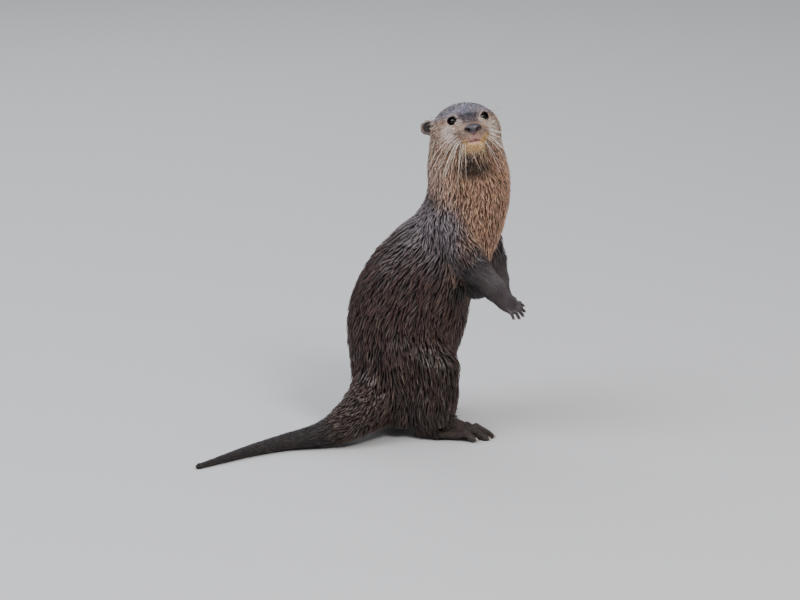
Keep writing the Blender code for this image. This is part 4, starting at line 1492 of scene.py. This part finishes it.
def joined_piece(name, meshes, colours, material):
    """Like meshes as one piece: each is (points, faces), with a colour for each point."""
    points, faces, start = [], [], 0
    for own, own_faces in meshes:
        points.append(own)
        faces.append(own_faces + start)
        start += len(own)
    made = new_piece(name, np.concatenate(points), np.concatenate(faces))
    add_colour(made, np.concatenate(colours))
    covered(made, material)


def claws():
    """Small blunt claws, one on the upper side of each digit's tip."""
    look, tree, shader = new_material("claw_horn", 0.35, coat=0.2)
    mottled(tree, shader, 900.0, 2.0, 0.8, 1.2)
    ball, faces = sphere_mesh(14, 10)
    taper = 1 - 0.45 * ramp(ball[:, 0], -0.4, 1)
    colour = over(plain("claw_root", ball), "claw_tip", ramp(ball[:, 0], -0.6, 1))
    for limb, (wrist, turn) in PAWS.items():
        up = turned_frame(*turn)[2]
        *_, radius, _ = paw_size(limb)
        made = []
        for _, _, tip, ahead in digits_of(np.array(wrist, float), turn, paw_size(limb)):
            way = unit(ahead - 0.35 * up)
            side = unit(np.cross(up, way))
            length = ball[:, 0] * radius * 0.75
            own = np.stack([length, ball[:, 1] * taper * radius * 0.36, ball[:, 2] * taper * radius * 0.3], 1)
            middle = tip + way * radius * 0.55 + up * radius * 0.42
            made.append((middle + own @ np.array([way, side, np.cross(way, side)]), faces))
        joined_piece("claws_" + limb, made, [colour] * len(made), look)


def tapered_tube(line, radius, sides=5):
    """(points, faces) of a closed tube along a line, tapering to a point."""
    ahead = unit(np.gradient(line, axis=0))
    side = unit(np.cross(ahead, [0.3, 0.2, 1.0]))
    up = np.cross(ahead, side)
    angle = np.arange(sides) * 2 * np.pi / sides
    size = radius * (1 - 0.75 * np.linspace(0, 1, len(line)) ** 1.3)
    rings = [
        line[n] + size[n] * (np.cos(angle)[:, None] * side[n] + np.sin(angle)[:, None] * up[n])
        for n in range(len(line) - 1)
    ]
    root = [(0, i + 1, i) for i in range(1, sides - 1)]
    return np.concatenate([*rings, line[-1:]]), tube_faces(len(rings), sides, root)


def bristle(root, way, length, bend, stations):
    """The line of one bristle in the head's own frame, which leaves its root along way and bends."""
    t = np.linspace(0, 1, stations)[:, None]
    return from_head(np.asarray(root, float) + length * (unit(way) * t + np.asarray(bend) * t**2))


def whiskers():
    """Whiskers on each side of the muzzle, fanned from sideways to straight down, with a few bristles over
    the eyes and on the chin."""
    random = np.random.default_rng(SEED + 1)
    made, colours = [], []

    def add(line, radius, name):
        made.append(tapered_tube(line, radius))
        colours.append(plain(name, made[-1][0]))

    for side in (1, -1):
        for number in range(WHISKERS_A_SIDE):
            share = (number + 0.5) / WHISKERS_A_SIDE
            first, last = WHISKER_ANGLES[side]
            angle = math.radians(first + (last - first) * share + random.normal(0, 3))
            length = 60 - 12 * share + random.uniform(-6, 5)
            root = [44 - 7 * random.uniform(), (9 + 8.5 * random.uniform()) * side, -8 - 8 * share]
            root[2] += random.normal(0, 1)
            forward = 0.4 - 0.25 * share + random.normal(0, 0.07)
            way = [forward, math.cos(angle) * side, math.sin(angle) + 0.12]
            bend = np.array([-0.2, -0.1 * side * share, -0.6 + 0.5 * share]) * random.uniform(0.7, 1.3)
            add(bristle(root, way, length, bend, 14), random.uniform(0.22, 0.31), "whisker")
    for side in (1, -1):
        for _ in range(BROW_HAIRS):
            root = [12 + random.normal(0, 2), 30 * side, 14 + random.normal(0, 2.5)]
            way = [0.15 + random.normal(0, 0.1), side, 0.3 + random.normal(0, 0.14)]
            add(bristle(root, way, random.uniform(13, 19), (-0.25, 0, -0.12), 8), 0.2, "brow_hair")
    for root, way, length in CHIN_HAIRS:
        add(bristle(root, way, length, (-0.2, 0.05, 0), 10), 0.32, "chin_hair")
    look, tree, shader = new_material("whisker", 0.3, coat=0.2)
    marked(tree, shader)
    joined_piece("whiskers", made, colours, look)


eye_look = eye_material()
eye_piece(1, "left", eye_look)
eye_piece(-1, "right", eye_look)
nose_piece()
claws()
whiskers()


# --- floor, light and camera ---

FLOOR_SIDE = 40
FLOOR_COLOUR = (0.62, 0.61, 0.6, 1)
SKY_COLOUR = (0.86, 0.89, 0.96, 1)
# The world's brightness against the sine of the elevation.
SKY = {"From Min": 0.1, "From Max": 0.8, "To Min": 0.22, "To Max": 0.72}
# Soft lamps: name, place from the middle of the otter, size, power and tint.
LAMPS = [
    ("key", (1.3, -1.9, 2.3), 0.9, 60, (1.0, 0.97, 0.93)),
    ("sky", (-1.7, -1.0, 2.6), 2.0, 74, (0.84, 0.9, 1.0)),
    ("rim", (-0.8, 2.2, 2.0), 2.2, 26, (0.9, 0.94, 1.0)),
]
CAMERA_ELEVATION = 15  # degrees above the horizon
CAMERA_DISTANCE = 4.0
CAMERA_LENS = 144  # millimetres, on a sensor 36 wide
TARGET = np.array([-37.5, 0.0, 168.0])  # in the body's frame, millimetres


def placed(name, data, location, way):
    """A lamp or camera at location that looks along way."""
    made = bpy.data.objects.new(name, data)
    bpy.context.scene.collection.objects.link(made)
    made.location = location
    made.rotation_mode = "QUATERNION"
    made.rotation_quaternion = way.to_track_quat("-Z", "Y")
    return made


def studio():
    bpy.ops.mesh.primitive_plane_add(size=FLOOR_SIDE)
    floor = bpy.context.object
    floor.name = "floor"
    material, _, shader = new_material("pale_floor", 0.9, specular=0.2)
    shader.inputs["Base Color"].default_value = FLOOR_COLOUR
    covered(floor, material)
    world = bpy.data.worlds.new("studio")
    bpy.context.scene.world = world
    world.use_nodes = True
    tree = world.node_tree
    where = node(tree, "ShaderNodeTexCoord")
    split = node(tree, "ShaderNodeSeparateXYZ")
    tree.links.new(where.outputs["Generated"], split.inputs["Vector"])
    height = node(tree, "ShaderNodeMapRange", SKY)
    tree.links.new(split.outputs["Z"], height.inputs["Value"])
    tree.nodes["Background"].inputs["Color"].default_value = SKY_COLOUR
    tree.links.new(height.outputs["Result"], tree.nodes["Background"].inputs["Strength"])
    middle = (CAD_LOW + CAD_HIGH) / 2
    for name, place, size, power, tint in LAMPS:
        light = bpy.data.lights.new(name, "AREA")
        light.size = size
        light.energy = power
        light.color = tint
        placed(name, light, middle + Vector(place), -Vector(place))


def camera():
    """A long lens, from the right side of the body and a little above it."""
    data = bpy.data.cameras.new("camera")
    data.lens = CAMERA_LENS
    data.sensor_width = 36
    rise = math.radians(CAMERA_ELEVATION)
    back = Vector((0, -math.cos(rise), math.sin(rise)))
    made = placed("camera", data, Vector(TARGET * METRE + SHIFT) + back * CAMERA_DISTANCE, -back)
    bpy.context.scene.camera = made


studio()
camera()
